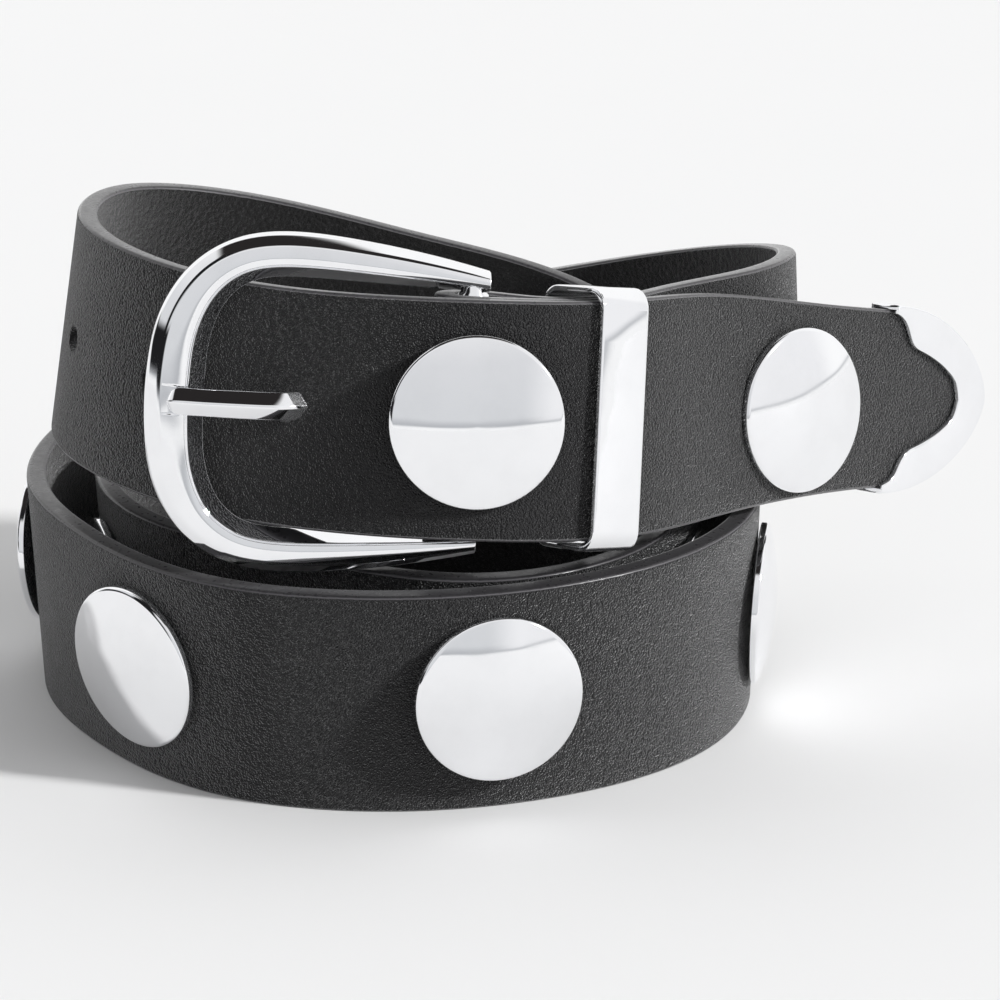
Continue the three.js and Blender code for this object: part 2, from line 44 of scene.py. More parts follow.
bl_info = {
    "name": "Studded Belt",
    "version": (1, 0, 0),
    "blender": (4, 5, 0),
    "location": "View3D > Sidebar > Belt",
    "description": "Builds the leather, metal and stage of a coiled studded belt over its packed model",
    "category": "Object",
}

UP = np.array([0.0, 0.0, 1.0])
MM = 0.001

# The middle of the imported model's box, seen from the axis that the route is drawn round.
ROUTE_OFFSET = (-0.019504, -0.001707, 0.0)

# The strap's centre line from behind the keeper to the tip, anticlockwise seen from above: x is a
# share of the coil's width, y of its depth, z of the strap's width (RESTING puts the lower edge on
# the floor), lean is degrees outward of the top edge, width a share of the strap's width.
RESTING = 0
ROUTE_COLUMNS = ("x", "y", "z", "lean", "width")
ROUTE = (
    (0.392, -0.207, 1.555, -7, 1),
    (0.5, -0.085, 1.535, -5, 1),
    (0.552, 0.06, 1.495, -3, 1),
    (0.52, 0.24, 1.39, 0, 1),
    (0.36, 0.43, 1.19, 0, 1),
    (0.1, 0.52, 0.97, 0, 1),
    (-0.16, 0.515, 0.77, 0, 1),
    (-0.375, 0.4, 0.6, 2, 1),
    (-0.47, 0.205, 0.52, 3, 1),
    (-0.475, 0.02, RESTING, 3, 1),
    (-0.39, -0.215, RESTING, 4, 1),
    (-0.2, -0.44, RESTING, 6, 1),
    (-0.01, -0.495, RESTING, 6, 1),
    (0.22, -0.445, RESTING, 6, 1),
    (0.405, -0.29, RESTING, 4, 1),
    (0.49, -0.06, RESTING, 2, 1),
    (0.47, 0.15, RESTING, 0, 1),
    (0.32, 0.37, RESTING, 0, 1),
    (0.09, 0.45, RESTING, 0, 1),
    (-0.17, 0.425, RESTING, 0, 1),
    (-0.335, 0.3, RESTING, 3, 1),
    (-0.385, 0.12, RESTING, 4, 1),
    (-0.365, -0.03, RESTING, 4, 1),
    (-0.28, -0.19, RESTING, 4, 1),
    (-0.15, -0.29, RESTING, 4, 1),
    (-0.02, -0.375, RESTING, 6, 1),
    (0.13, -0.42, RESTING, 6, 1),
    (0.285, -0.345, RESTING, 4, 1),
    (0.4, -0.12, 0.57, 2, 1),
    (0.4, 0.11, 0.87, 0, 1),
    (0.255, 0.28, 1.185, 0, 1),
    (0.02, 0.345, 1.375, 0, 1),
    (-0.22, 0.33, 1.575, -3, 1),
    (-0.365, 0.24, 1.685, -6, 1),
    (-0.422, 0.075, 1.73, -8, 1),
    (-0.39, -0.135, 1.734, -9, 1),
    (-0.27, -0.295, 1.702, -9, 1),
    (-0.08, -0.405, 1.683, -9, 1),
    (0.115, -0.455, 1.686, -9, 1),
    (0.28, -0.4, 1.636, -9, 0.995),
    (0.42, -0.237, 1.552, -7, 0.965),
    (0.56, -0.07, 1.434, -6, 0.86),
    (0.69, 0.07, 1.318, -5, 0.797),
    (0.822, 0.205, 1.2, -5, 0.775),
)

# Upper half of the buckle frame's outline: u is a share of its length, v of half its height.
FRAME_COLUMNS = ("outer_u", "outer_v", "inner_u", "inner_v")
FRAME_OUTLINE = (
    (-0.045, 0.835, -0.045, 0.71),
    (0.15, 0.915, 0.15, 0.72),
    (0.4, 0.985, 0.39, 0.735),
    (0.61, 1, 0.57, 0.74),
    (0.77, 0.925, 0.685, 0.7),
    (0.89, 0.75, 0.765, 0.565),
    (0.965, 0.5, 0.805, 0.36),
    (0.993, 0.245, 0.815, 0.175),
    (1, 0, 0.817, 0),
)

# The frame's bevelled section: across runs from the outer to the inner edge, rise is a share of
# the frame's thickness, cut is how far in millimetres the corner is rounded off along its sides.
BEVEL_COLUMNS = ("across", "rise", "cut")
FRAME_SECTION = (
    (0, 0, 0.3),
    (0, 0.4, 0.3),
    (0.035, 0.56, 0.25),
    (0.2, 0.86, 0.2),
    (0.27, 0.93, 0.2),
    (0.5, 1, 0.8),
    (0.68, 0.97, 0.09),
    (0.7, 0.9, 0.05),
    (0.725, 0.925, 0.05),
    (0.75, 0.885, 0.1),
    (0.985, 0.2, 0.25),
    (1, 0.12, 0.2),
    (1, 0, 0.3),
)

# The prong from the heel bar to its tip: reach is a share of the frame's length, rise a share of
# its thickness in front of its middle plane, width a share of the prong's width.
PRONG_COLUMNS = ("reach", "rise", "width")
PRONG_SIDE = (
    (0.06, 0, 1),
    (0.23, -0.04, 1),
    (0.4, -0.13, 1),
    (0.47, -0.03, 1),
    (0.52, 0.42, 1),
    (0.58, 0.78, 1),
    (0.7, 0.915, 1),
    (0.84, 0.85, 0.97),
    (0.91, 0.71, 0.93),
    (0.928, 0.66, 0.88),
)

# Studs that sit off their even spacing or aslant: along, across and lift are shares of a stud's
# diameter, tip is degrees that the face looks up, turn degrees towards the tip.
SEAT_COLUMNS = ("stud", "along", "across", "lift", "tip", "turn")
LOOSE_STUDS = (
    (3, -0.07, 0, 0, 0, 0),
    (4, 0.08, 0.03, 0.02, 0, 5),
    (5, 0.01, 0.04, 0.03, 5, 0),
    (6, 0.15, 0, 0, 0, 0),
    (14, 0, -0.05, 0.03, 0, -4.5),
)

# Half of the arched opening in the end cap's faces: reach is a share of the cap's length, half a
# share of its half width.
ARCH_COLUMNS = ("reach", "half")
CAP_ARCH = (
    (0, 0.985),
    (0.03, 0.97),
    (0.12, 0.86),
    (0.2, 0.64),
    (0.32, 0.54),
    (0.48, 0.43),
    (0.6, 0.31),
    (0.68, 0.18),
    (0.715, 0),
)


def length_property(name, description, default):
    """A length in metres with its unit shown."""
    return bpy.props.FloatProperty(
        name=name, description=description, default=default, min=0, precision=5,
        unit="LENGTH", subtype="DISTANCE",
    )


def colour_property(name, description, default):
    """A scene linear colour with a swatch."""
    return bpy.props.FloatVectorProperty(
        name=name, description=description, default=default, size=3, min=0, max=1, subtype="COLOR"
    )


class BELT_PG_sizes(bpy.types.PropertyGroup):
    """Sizes of the belt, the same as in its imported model."""

    strap_width: length_property("Strap Width", "Width of the strap", 0.038)
    strap_thickness: length_property("Strap Thickness", "Thickness of the leather", 0.0034)
    edge_round: length_property("Edge Rounding", "Radius of the strap's rounded edges", 0.0007)
    fit_gap: length_property("Fit Gap", "Clearance between pieces that touch", 0.00035)
    floor_trim: length_property("Floor Trim", "How far the lower edge is flattened where it stands", 0.00015)
    coil_width: length_property("Coil Width", "Width that the route is drawn in", 0.124)
    coil_depth: length_property("Coil Depth", "Depth that the route is drawn in", 0.116)
    heel_bar: length_property("Heel Bar", "Diameter of the bar that the strap folds round", 0.005)
    heel_from_tip: length_property("Heel From Tip", "Distance of the heel bar from the tip", 0.1198)
    fold_back: length_property("Turned-back Length", "Length of the layer behind the buckle", 0.046)
    fold_closes: length_property("Fold Closes In", "Length over which the fold closes up", 0.0135)
    frame_length: length_property("Frame Length", "Buckle frame from the heel bar to the toe", 0.051)
    frame_height: length_property("Frame Height", "Height of the buckle frame", 0.054)
    frame_thickness: length_property("Frame Thickness", "Thickness of the buckle frame", 0.0047)
    toe_lift: length_property("Toe Lift", "How far the toe bar stands off the strap", 0.007)
    prong_width: length_property("Prong Width", "Width of the prong", 0.0045)
    prong_thickness: length_property("Prong Thickness", "Thickness of the prong", 0.0023)
    prong_wall: length_property("Prong Loop Wall", "Wall of the loop round the heel bar", 0.002)
    hole: length_property("Hole", "Diameter of the adjusting holes", 0.0043)
    hole_pitch: length_property("Hole Pitch", "Distance between the holes", 0.025)
    prong_hole: length_property("Prong Hole", "Distance of the prong's hole from the tip", 0.1495)
    stud: length_property("Stud", "Diameter of a stud", 0.0275)
    stud_height: length_property("Stud Height", "Height of a stud above the leather", 0.0035)
    stud_wall: length_property("Stud Wall", "Height of a stud's upright rim", 0.0013)
    stud_post: length_property("Stud Post", "Diameter of the post that holds a stud", 0.0036)
    first_stud: length_property("First Stud", "Distance of the first stud from the heel bar", 0.1365)
    last_stud: length_property("Last Body Stud", "Distance of the last stud of the body from the tip", 0.323)
    tip_studs: bpy.props.FloatVectorProperty(
        name="Tip Studs", description="Distances of the two studs from the tip",
        default=(0.119, 0.05), size=2, unit="LENGTH",
    )
    buckle_end: length_property("Buckle End", "Straight run of the buckle end behind the heel bar", 0.012)
    keeper_from_tip: length_property("Keeper From Tip", "Distance of the keeper from the tip", 0.0969)
    keeper_length: length_property("Keeper Length", "Length of the keeper along the strap", 0.0092)
    keeper_metal: length_property("Keeper Metal", "Thickness of the keeper's metal", 0.001)
    keeper_gap: length_property("Keeper Gap", "Clearance of the keeper round the strap", 0.001)
    keeper_corner: length_property("Keeper Corner", "Inner radius of the keeper's corners", 0.0026)
    keeper_slant: bpy.props.FloatProperty(
        name="Keeper Slant", description="How far the keeper leans towards the tip",
        default=math.radians(3.5), subtype="ANGLE",
    )
    cap_length: length_property("Cap Length", "Length of the end cap", 0.026)
    cap_metal: length_property("Cap Metal", "Thickness of the end cap's metal", 0.0009)


class BELT_PG_colours(bpy.types.PropertyGroup):
    """Colours of the belt and its stage."""

    grain: colour_property("Grain Side", "Colour of the leather's outer side", (0.007, 0.0069, 0.0077))
    edge: colour_property("Painted Edge", "Colour of the edge paint", (0.028, 0.027, 0.029))
    flesh: colour_property("Flesh Side", "Colour of the leather's inner side", (0.012, 0.0117, 0.012))
    metal: colour_property("Plating", "Reflected colour of the plating", (0.93, 0.935, 0.95))
    floor: colour_property("Floor", "Colour of the floor", (0.83, 0.83, 0.83))


class Value:
    """A number socket that takes part in Python expressions; each operator adds a Math node."""

    def __init__(self, tree, socket):
        self.tree = tree
        self.socket = socket

    def _with(self, operation, *others, swapped=False):
        node = self.tree.nodes.new("ShaderNodeMath")
        node.operation = operation
        terms = (*others, self) if swapped else (self, *others)
        for socket, term in zip(node.inputs, terms):
            if isinstance(term, Value):
                self.tree.links.new(term.socket, socket)
            else:
                socket.default_value = term
        return Value(self.tree, node.outputs[0])

    def __add__(self, other):
        return self._with("ADD", other)

    def __sub__(self, other):
        return self._with("SUBTRACT", other)

    def __mul__(self, other):
        return self._with("MULTIPLY", other)

    def __truediv__(self, other):
        return self._with("DIVIDE", other)

    def __pow__(self, other):
        return self._with("POWER", other)

    def __radd__(self, other):
        return self._with("ADD", other, swapped=True)

    def __rsub__(self, other):
        return self._with("SUBTRACT", other, swapped=True)

    def __rmul__(self, other):
        return self._with("MULTIPLY", other, swapped=True)

    def __rtruediv__(self, other):
        return self._with("DIVIDE", other, swapped=True)

    def clamped(self):
        return self._with("MAXIMUM", 0.0)._with("MINIMUM", 1.0)


class Finish:
    """A node tree in the making, of a material or of the world."""

    def __init__(self, tree):
        self.tree = tree
        tree.nodes.clear()

    def node(self, kind, settings=None, sockets=None, out=0):
        """One node: its settings first, with stops for a ramp, then its sockets' values or links."""
        node = self.tree.nodes.new(kind)
        for key, value in (settings or {}).items():
            if key == "stops":
                self._ramp(node.color_ramp, value)
            else:
                setattr(node, key, value)
        for key, value in (sockets or {}).items():
            if isinstance(value, Value):
                self.tree.links.new(value.socket, node.inputs[key])
            else:
                node.inputs[key].default_value = value
        return Value(self.tree, node.outputs[out]) if node.outputs else None

    @staticmethod
    def _ramp(ramp, stops):
        while len(ramp.elements) > 1:
            ramp.elements.remove(ramp.elements[-1])
        ramp.elements[0].position, ramp.elements[0].color = stops[0]
        for position, colour in stops[1:]:
            ramp.elements.new(position).color = colour

    def between(self, value, low, high, to_low=0.0, to_high=1.0):
        """Value carried smoothly from one range to another and held at its ends."""
        return self.node(
            "ShaderNodeMapRange", {"interpolation_type": "SMOOTHSTEP"},
            {"Value": value, "From Min": low, "From Max": high, "To Min": to_low, "To Max": to_high},
        )

    def noise(self, vector, scale, detail=3.0, roughness=0.5):
        return self.node(
            "ShaderNodeTexNoise", None,
            {"Vector": vector, "Scale": scale, "Detail": detail, "Roughness": roughness},
        )


def mixed_colours(finish, factor, first, second):
    """Colour between two colours, each a tuple or a link."""
    node = finish.tree.nodes.new("ShaderNodeMix")
    node.data_type = "RGBA"
    for socket, term in ((node.inputs[0], factor), (node.inputs[6], first), (node.inputs[7], second)):
        if isinstance(term, Value):
            finish.tree.links.new(term.socket, socket)
        else:
            socket.default_value = term
    return Value(finish.tree, node.outputs[2])


def table_columns(names, rows):
    """The columns of a table as arrays, by name."""
    return SimpleNamespace(**dict(zip(names, np.asarray(rows, float).T)))


def rgba(colour, share=1.0):
    return (colour[0] * share, colour[1] * share, colour[2] * share, 1.0)


def new_material(name):
    material = bpy.data.materials.new(name)
    material.use_nodes = True
    return material, Finish(material.node_tree)


def belt_leather(colours):
    """Black leather: pebbled grain outside with painted shade in its hollows, painted edges with a painted
    highlight near their arrises, napped flesh side inside.
    """
    material, f = new_material("belt_leather")
    place = f.node("ShaderNodeTexCoord", out=3)
    along_strap = f.node("ShaderNodeUVMap", {"uv_map": "strap"})
    side = f.node("ShaderNodeAttribute", {"attribute_name": "side"}, out=2)
    rim = f.node("ShaderNodeAttribute", {"attribute_name": "rim"}, out=2)
    broad = f.noise(place, 60.0, 3.0, 0.55)
    wobble = f.noise(place, 900.0, 2.0, 0.5)
    is_edge = f.between(rim + (wobble - 0.5) * 0.12, 0.5, 0.34)
    is_flesh = f.between(side, -0.2, -0.75) * (1 - is_edge)
    is_grain = ((1 - is_edge) * (1 - is_flesh)).clamped()

    bent = f.node(
        "ShaderNodeTexNoise", {"noise_dimensions": "3D"},
        {"Vector": place, "Scale": 900.0, "Detail": 2.0}, out=1,
    )
    shifted = f.node(
        "ShaderNodeVectorMath", {"operation": "MULTIPLY_ADD"},
        {0: bent, 1: (0.0007, 0.0007, 0.0007), 2: place},
    )
    pebble = f.node(
        "ShaderNodeTexVoronoi", {"feature": "SMOOTH_F1"},
        {"Vector": shifted, "Scale": 3300.0, "Smoothness": 0.4, "Randomness": 1.0},
    )
    pebble_large = f.node(
        "ShaderNodeTexVoronoi", {"feature": "F1"},
        {"Vector": shifted, "Scale": 1500.0, "Randomness": 1.0},
    )
    pores = f.noise(place, 3600.0, 2.0, 0.6)
    stretched = f.node(
        "ShaderNodeMapping", None, {"Vector": along_strap, "Scale": (1.0, 0.2, 1.0)}
    )
    creases = f.noise(stretched, 460.0, 4.0, 0.62)
    crease_place = f.between(f.noise(place, 28.0, 2.0, 0.5), 0.42, 0.68)
    grain_height = (1 - pebble) * 1.3 + (1 - pebble_large) * 0.3 + pores * 0.5
    grain_height = grain_height + creases * crease_place * 0.35

    nap = f.noise(place, 1500.0, 6.0, 0.75)
    fibres = f.node(
        "ShaderNodeTexVoronoi", {"feature": "F1"}, {"Vector": place, "Scale": 1100.0, "Randomness": 1.0}
    )
    flesh_height = nap * 2.2 + (1 - fibres) * 0.9
    edge_height = f.noise(place, 700.0, 3.0, 0.5) * 0.1
    height = grain_height * is_grain + flesh_height * is_flesh + edge_height * is_edge

    speck = f.between(nap, 0.54, 0.66)
    grain_colour = mixed_colours(
        f, f.between(broad, 0.3, 0.7), rgba(colours.grain, 0.86), rgba(colours.grain, 1.16)
    )
    # Painted shade: the grain colour is darkened towards 0.55 of itself at the borders of the large pebbles,
    # the hollows of the bump.
    grain_colour = mixed_colours(
        f, f.between(pebble_large, 0.35, 0.75) * 0.5, grain_colour, rgba(colours.grain, 0.55)
    )
    flesh_colour = mixed_colours(f, speck, rgba(colours.flesh), rgba(colours.flesh, 3.4))
    # Painted highlight: the edge colour is brightened 3.2 times in a band near the arrises, where the rounded
    # edge meets the faces.
    arris_highlight = f.between(rim + (wobble - 0.5) * 0.1, 0.12, 0.3)
    edge_colour = mixed_colours(f, arris_highlight, rgba(colours.edge), rgba(colours.edge, 3.2))
    colour = mixed_colours(f, is_flesh, grain_colour, flesh_colour)
    colour = mixed_colours(f, is_edge, colour, edge_colour)

    grain_rough = f.between(broad, 0.3, 0.7, 0.44, 0.56) + (pebble - 0.5) * 0.12
    rough = grain_rough * is_grain + 0.86 * is_flesh + f.between(wobble, 0.3, 0.7, 0.26, 0.38) * is_edge
    bump = f.node("ShaderNodeBump", None, {"Strength": 1.0, "Distance": 0.00034, "Height": height})
    surface = f.node(
        "ShaderNodeBsdfPrincipled", None,
        {"Base Color": colour, "Roughness": rough.clamped(), "Normal": bump, "Specular IOR Level": 0.36,
         "Sheen Weight": 0.42, "Sheen Roughness": 0.28},
    )
    f.node("ShaderNodeOutputMaterial", None, {"Surface": surface})
    return material


def plated_metal(colours):
    """Bright plating: mirror polish with a faint ripple, handling haze and hairline scratches."""
    material, f = new_material("bright_plating")
    place = f.node("ShaderNodeTexCoord", out=3)
    haze = f.noise(place, 130.0, 4.0, 0.6)
    ripple = f.noise(place, 95.0, 1.0, 0.4)
    streaked = f.node(
        "ShaderNodeMapping", None, {"Vector": place, "Rotation": (0.5, 0.9, 0.3), "Scale": (1, 1, 0.05)}
    )
    scratches = f.between(f.noise(streaked, 5200.0, 2.0, 0.7), 0.66, 0.74)
    colour = mixed_colours(f, f.between(haze, 0.35, 0.75), rgba(colours.metal), rgba(colours.metal, 0.965))
    rough = f.between(haze, 0.3, 0.8, 0.03, 0.075) + scratches * 0.05
    height = ripple + scratches * -0.004
    bump = f.node("ShaderNodeBump", None, {"Strength": 0.12, "Distance": 0.00035, "Height": height})
    surface = f.node(
        "ShaderNodeBsdfPrincipled", None,
        {"Base Color": colour, "Metallic": 1.0, "Roughness": rough, "Normal": bump},
    )
    f.node("ShaderNodeOutputMaterial", None, {"Surface": surface})
    return material


def pale_floor(colours):
    """Matt paper sweep with a faint mottle."""
    material, f = new_material("pale_sweep")
    place = f.node("ShaderNodeTexCoord", out=3)
    mottle = f.noise(place, 9.0, 3.0, 0.5)
    colour = mixed_colours(f, mottle, rgba(colours.floor, 0.995), rgba(colours.floor, 1.005))
    surface = f.node(
        "ShaderNodeBsdfPrincipled", None,
        {"Base Color": colour, "Roughness": 0.9, "Specular IOR Level": 0.1},
    )
    f.node("ShaderNodeOutputMaterial", None, {"Surface": surface})
    return material


def material_named(name, maker):
    """The material if an operator has made it already, and a new one otherwise."""
    return bpy.data.materials.get(name) or maker(bpy.context.scene.belt_colours)


def unit(vectors):
    return vectors / np.linalg.norm(vectors, axis=-1, keepdims=True)


class NaturalSpline:
    """Natural cubic spline: second derivatives solve the usual three-term equations, zero at the ends."""

    def __init__(self, knots, rows):
        self.knots = np.asarray(knots, float)
        self.rows = np.asarray(rows, float)
        step = np.diff(self.knots)
        slope = np.diff(self.rows, axis=0) / step[:, None]
        inner = np.arange(1, len(self.knots) - 1)
        system = np.eye(len(self.knots))
        system[inner, inner - 1] = step[:-1]
        system[inner, inner] = 2 * (step[:-1] + step[1:])
        system[inner, inner + 1] = step[1:]
        right = np.zeros_like(self.rows)
        right[1:-1] = 6 * np.diff(slope, axis=0)
        self.bends = np.linalg.solve(system, right)

    def at(self, knot):
        knot = np.atleast_1d(np.asarray(knot, float))
        i = np.clip(np.searchsorted(self.knots, knot), 1, len(self.knots) - 1)
        step = (self.knots[i] - self.knots[i - 1])[:, None]
        a = (self.knots[i] - knot)[:, None] / step
        b = 1 - a
        bent = (a**3 - a) * self.bends[i - 1] + (b**3 - b) * self.bends[i]
        return a * self.rows[i - 1] + b * self.rows[i] + bent * step * step / 6


class Route:
    """The strap's centre line as frames: centre, along, across the width, outward, half width."""

    def __init__(self, rows):
        rows = np.asarray(rows, float)
        chord = np.linalg.norm(np.diff(rows[:, :3], axis=0), axis=1)
        knots = np.concatenate([[0], np.cumsum(chord)])
        self.length = knots[-1]
        self.spline = NaturalSpline(knots, rows)

    def frames(self, distance):
        distance = np.atleast_1d(np.asarray(distance, float))
        values = self.spline.at(distance)
        reach = 0.05 * MM
        along = unit(self.spline.at(distance + reach)[:, :3] - self.spline.at(distance - reach)[:, :3])
        upright = unit(UP - along * along[:, 2:3])
        level = np.cross(along, upright)
        tilt = np.radians(values[:, 3:4])
        return SimpleNamespace(
            centre=values[:, :3],
            along=along,
            across=upright * np.cos(tilt) + level * np.sin(tilt),
            outward=level * np.cos(tilt) - upright * np.sin(tilt),
            half=values[:, 4],
        )

    def frame(self, distance):
        f = self.frames(distance)
        return SimpleNamespace(**{key: value[0] for key, value in vars(f).items()})


def placed(f, u, v, n):
    """Points of one frame: centre + u along + v across + n outward, for arrays of equal shape."""
    u, v, n = np.broadcast_arrays(np.asarray(u, float), v, n)
    return f.centre + u[..., None] * f.along + v[..., None] * f.across + n[..., None] * f.outward


def leant(f, first, second, angle):
    """The frame with its first axis leaning by an angle towards its second."""
    a, b = getattr(f, first), getattr(f, second)
    c, s = math.cos(angle), math.sin(angle)
    return SimpleNamespace(**{**vars(f), first: a * c + b * s, second: b * c - a * s})


class Belt:
    """Everything that follows from the sizes: the route with its fold, and the buckle's axes."""

    def __init__(self, sizes):
        self.z = sizes
        self.pitch = sizes.strap_thickness + sizes.fit_gap
        self.fold_radius = (sizes.heel_bar + sizes.strap_thickness) / 2 + sizes.fit_gap
        self.fold_arc = math.pi * self.fold_radius
        rows = [self._row(dict(zip(ROUTE_COLUMNS, row))) for row in ROUTE]
        tip_run = Route(rows)
        heel, keeper = sizes.heel_from_tip, sizes.keeper_from_tip
        ends = (keeper + 0.55 * sizes.keeper_length, keeper - 0.65 * sizes.keeper_length)
        stacked = []
        for from_tip in (heel, heel - sizes.buckle_end, *ends):
            f = tip_run.frame(tip_run.length - from_tip)
            stacked.append([*placed(f, 0, 0, -self.pitch), rows[0][3] - 1, sizes.strap_width / 2])
        self.route = Route(stacked + rows)
        self._find_buckle()

    def _row(self, row):
        z = self.z
        lean = math.radians(row["lean"])
        corner = (z.strap_thickness / 2 - 0.9 * MM) * math.sin(abs(lean))
        height = row["z"] * z.strap_width
        if row["z"] == RESTING:
            height = z.strap_width / 2 * math.cos(lean) + corner - z.floor_trim
        x = row["x"] * z.coil_width + ROUTE_OFFSET[0]
        y = row["y"] * z.coil_depth + ROUTE_OFFSET[1]
        return [x, y, height, row["lean"], row["width"] * z.strap_width / 2]

    def _find_buckle(self):
        z = self.z
        self.heel = self.route.frame(0)
        heel_centre = placed(self.heel, 0, 0, -self.fold_radius)
        toe_strap = self.route.frame(self.route.length - z.heel_from_tip - z.frame_length * 0.9)
        toe_centre = placed(toe_strap, 0, 0, z.strap_thickness / 2 + z.toe_lift + z.frame_thickness / 2)
        along = unit(toe_centre - heel_centre)
        across = unit(self.heel.across - along * np.dot(self.heel.across, along))
        self.buckle = SimpleNamespace(
            centre=heel_centre, along=along, across=across, outward=np.cross(across, along)
        )

    def fold_inset(self, distance):
        """How far the turned-back layer lies inside: smooth step from two fold radii to one layer."""
        t = np.minimum(distance / self.z.fold_closes, 1)
        return 2 * self.fold_radius + (self.pitch - 2 * self.fold_radius) * t * t * (3 - 2 * t)

    def sweep(self, w):
        """Frames at a distance w along the leather: below -arc the turned-back layer, then the half
        circle of the fold, from 0 on the route itself; outward is always the grain side."""
        arc, radius = self.fold_arc, self.fold_radius
        back = (w < -arc)[:, None]
        fold = ((w >= -arc) & (w < 0))[:, None]
        s = np.where(w < -arc, -w - arc, np.maximum(w, 0))
        f = self.route.frames(s)
        angle = np.where(fold[:, 0], -np.pi * w / arc, 0.0)[:, None]
        turned = f.outward * np.cos(angle) - f.along * np.sin(angle)
        ahead = f.along * np.cos(angle) + f.outward * np.sin(angle)
        round_bar = f.outward * radius * (np.cos(angle) - 1) - f.along * radius * np.sin(angle)
        behind = -f.outward * self.fold_inset(s)[:, None]
        return SimpleNamespace(
            centre=f.centre + np.where(back, behind, np.where(fold, round_bar, 0.0)),
            along=np.where(back, -f.along, ahead),
            across=f.across,
            outward=np.where(back, -f.outward, turned),
            half=f.half,
        )

    def stud_frames(self):
        """Frame of each stud: twelve evenly spaced on the body and two on the tip run."""
        z = self.z
        body = np.linspace(z.first_stud, self.route.length - z.last_stud, 12)
        distances = np.concatenate([body, self.route.length - np.array(z.tip_studs)])
        seats = {row[0]: dict(zip(SEAT_COLUMNS, row)) for row in LOOSE_STUDS}
        even = dict.fromkeys(SEAT_COLUMNS, 0)
        frames = []
        for number, distance in enumerate(distances, start=1):
            seat = seats.get(number, even)
            f = self.route.frame(distance + seat["along"] * z.stud)
            f.centre = placed(f, 0, seat["across"] * z.stud, seat["lift"] * z.stud)
            f = leant(f, "outward", "across", math.radians(seat["tip"]))
            frames.append(leant(f, "outward", "along", math.radians(seat["turn"])))
        return frames

    def hole_distances(self):
        return self.route.length - self.z.prong_hole - self.z.hole_pitch * np.arange(5)


def make_piece(name, vertices, faces, material, slot, replaced=(), uv=None, attributes=None, clean=True):
    """Mesh object at the origin from arrays, smooth, its faces turned outward, riding on the root."""
    mesh = bpy.data.meshes.new(name)
    mesh.from_pydata(np.asarray(vertices).tolist(), [], [list(map(int, f)) for f in faces])
    for key, values in (attributes or {}).items():
        mesh.attributes.new(key, "FLOAT", "POINT").data.foreach_set("value", np.asarray(values, np.float32))
    if uv is not None:
        layer = mesh.uv_layers.new(name="strap")
        corner = np.zeros(len(mesh.loops), np.int32)
        mesh.loops.foreach_get("vertex_index", corner)
        layer.data.foreach_set("uv", np.asarray(uv, np.float32)[corner].ravel())
    if clean:
        work = bmesh.new()
        work.from_mesh(mesh)
        bmesh.ops.remove_doubles(work, verts=work.verts, dist=0.004 * MM)
        bmesh.ops.recalc_face_normals(work, faces=work.faces)
        work.to_mesh(mesh)
        work.free()
    mesh.shade_smooth()
    mesh.materials.append(material)
    piece = bpy.data.objects.new(name, mesh)
    bpy.context.scene.collection.objects.link(piece)
    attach(piece, "root")
    if replaced:
        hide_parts(*replaced)
    return piece


def grid_faces(rows, columns, wrap_rows=False, wrap_columns=True, start=0):
    """Quads of a grid of points numbered row by row."""
    i = np.arange(rows if wrap_rows else rows - 1)[:, None]
    j = np.arange(columns if wrap_columns else columns - 1)[None, :]
    i2, j2 = (i + 1) % rows, (j + 1) % columns
    corners = np.stack([i * columns + j, i * columns + j2, i2 * columns + j2, i2 * columns + j], axis=-1)
    return start + corners.reshape(-1, 4)


def softened(corners, cuts, steps=4):
    """Closed outline with each corner cut back by a length and bridged by a quadratic Bezier arc:
    (1-t)^2 A + 2t(1-t) corner + t^2 B, where A and B are the ends of the cut."""
    corners = np.asarray(corners, float)
    before = unit(np.roll(corners, 1, axis=0) - corners)
    after = unit(np.roll(corners, -1, axis=0) - corners)
    cuts = np.broadcast_to(np.asarray(cuts, float), len(corners))[:, None]
    first, last = corners + before * cuts, corners + after * cuts
    t = np.linspace(0, 1, steps + 1)[None, :, None]
    arcs = (1 - t) ** 2 * first[:, None] + 2 * t * (1 - t) * corners[:, None] + t**2 * last[:, None]
    return arcs.reshape(-1, 2)


BLOCK_CELLS = 8
SIDE_CELLS = 5
ARC_CELLS = 5
FACE_POINTS = BLOCK_CELLS + 2 * SIDE_CELLS + 1
RING_POINTS = 2 * FACE_POINTS + 4 * ARC_CELLS


def strap_section(half, thickness, edge_round):
    """Rings of the strap's section, v across and n outward: the grain face from its upper to its
    lower side, the lower edge as two quarter circles, the flesh face back up, and the upper edge.
    The middle columns of both faces keep a fixed width, so that holes can be let into them."""
    half = half[:, None]
    r = np.minimum(edge_round, half * 0.4)
    limit = half - r
    block = np.minimum(3.3 * MM, limit * 0.45)
    outer = np.arange(SIDE_CELLS)[None, :] / SIDE_CELLS
    middle = 1 - 2 * np.arange(BLOCK_CELLS + 1)[None, :] / BLOCK_CELLS
    upper = limit + (block - limit) * outer
    face = np.concatenate([upper, block * middle, -upper[:, ::-1]], axis=1)
    t = thickness / 2
    quarter = (np.pi / 2) * np.arange(1, ARC_CELLS + 1)[None, :] / ARC_CELLS
    arc_v, arc_n = limit + r * np.sin(quarter), t - r + r * np.cos(quarter)
    flat = np.full_like(face, t)
    v = np.concatenate([face, -arc_v, -arc_v[:, ::-1], -face, arc_v, arc_v[:, ::-1]], axis=1)
    n = np.concatenate([flat, arc_n, -arc_n[:, ::-1], -flat, -arc_n, arc_n[:, ::-1]], axis=1)
    return v, n


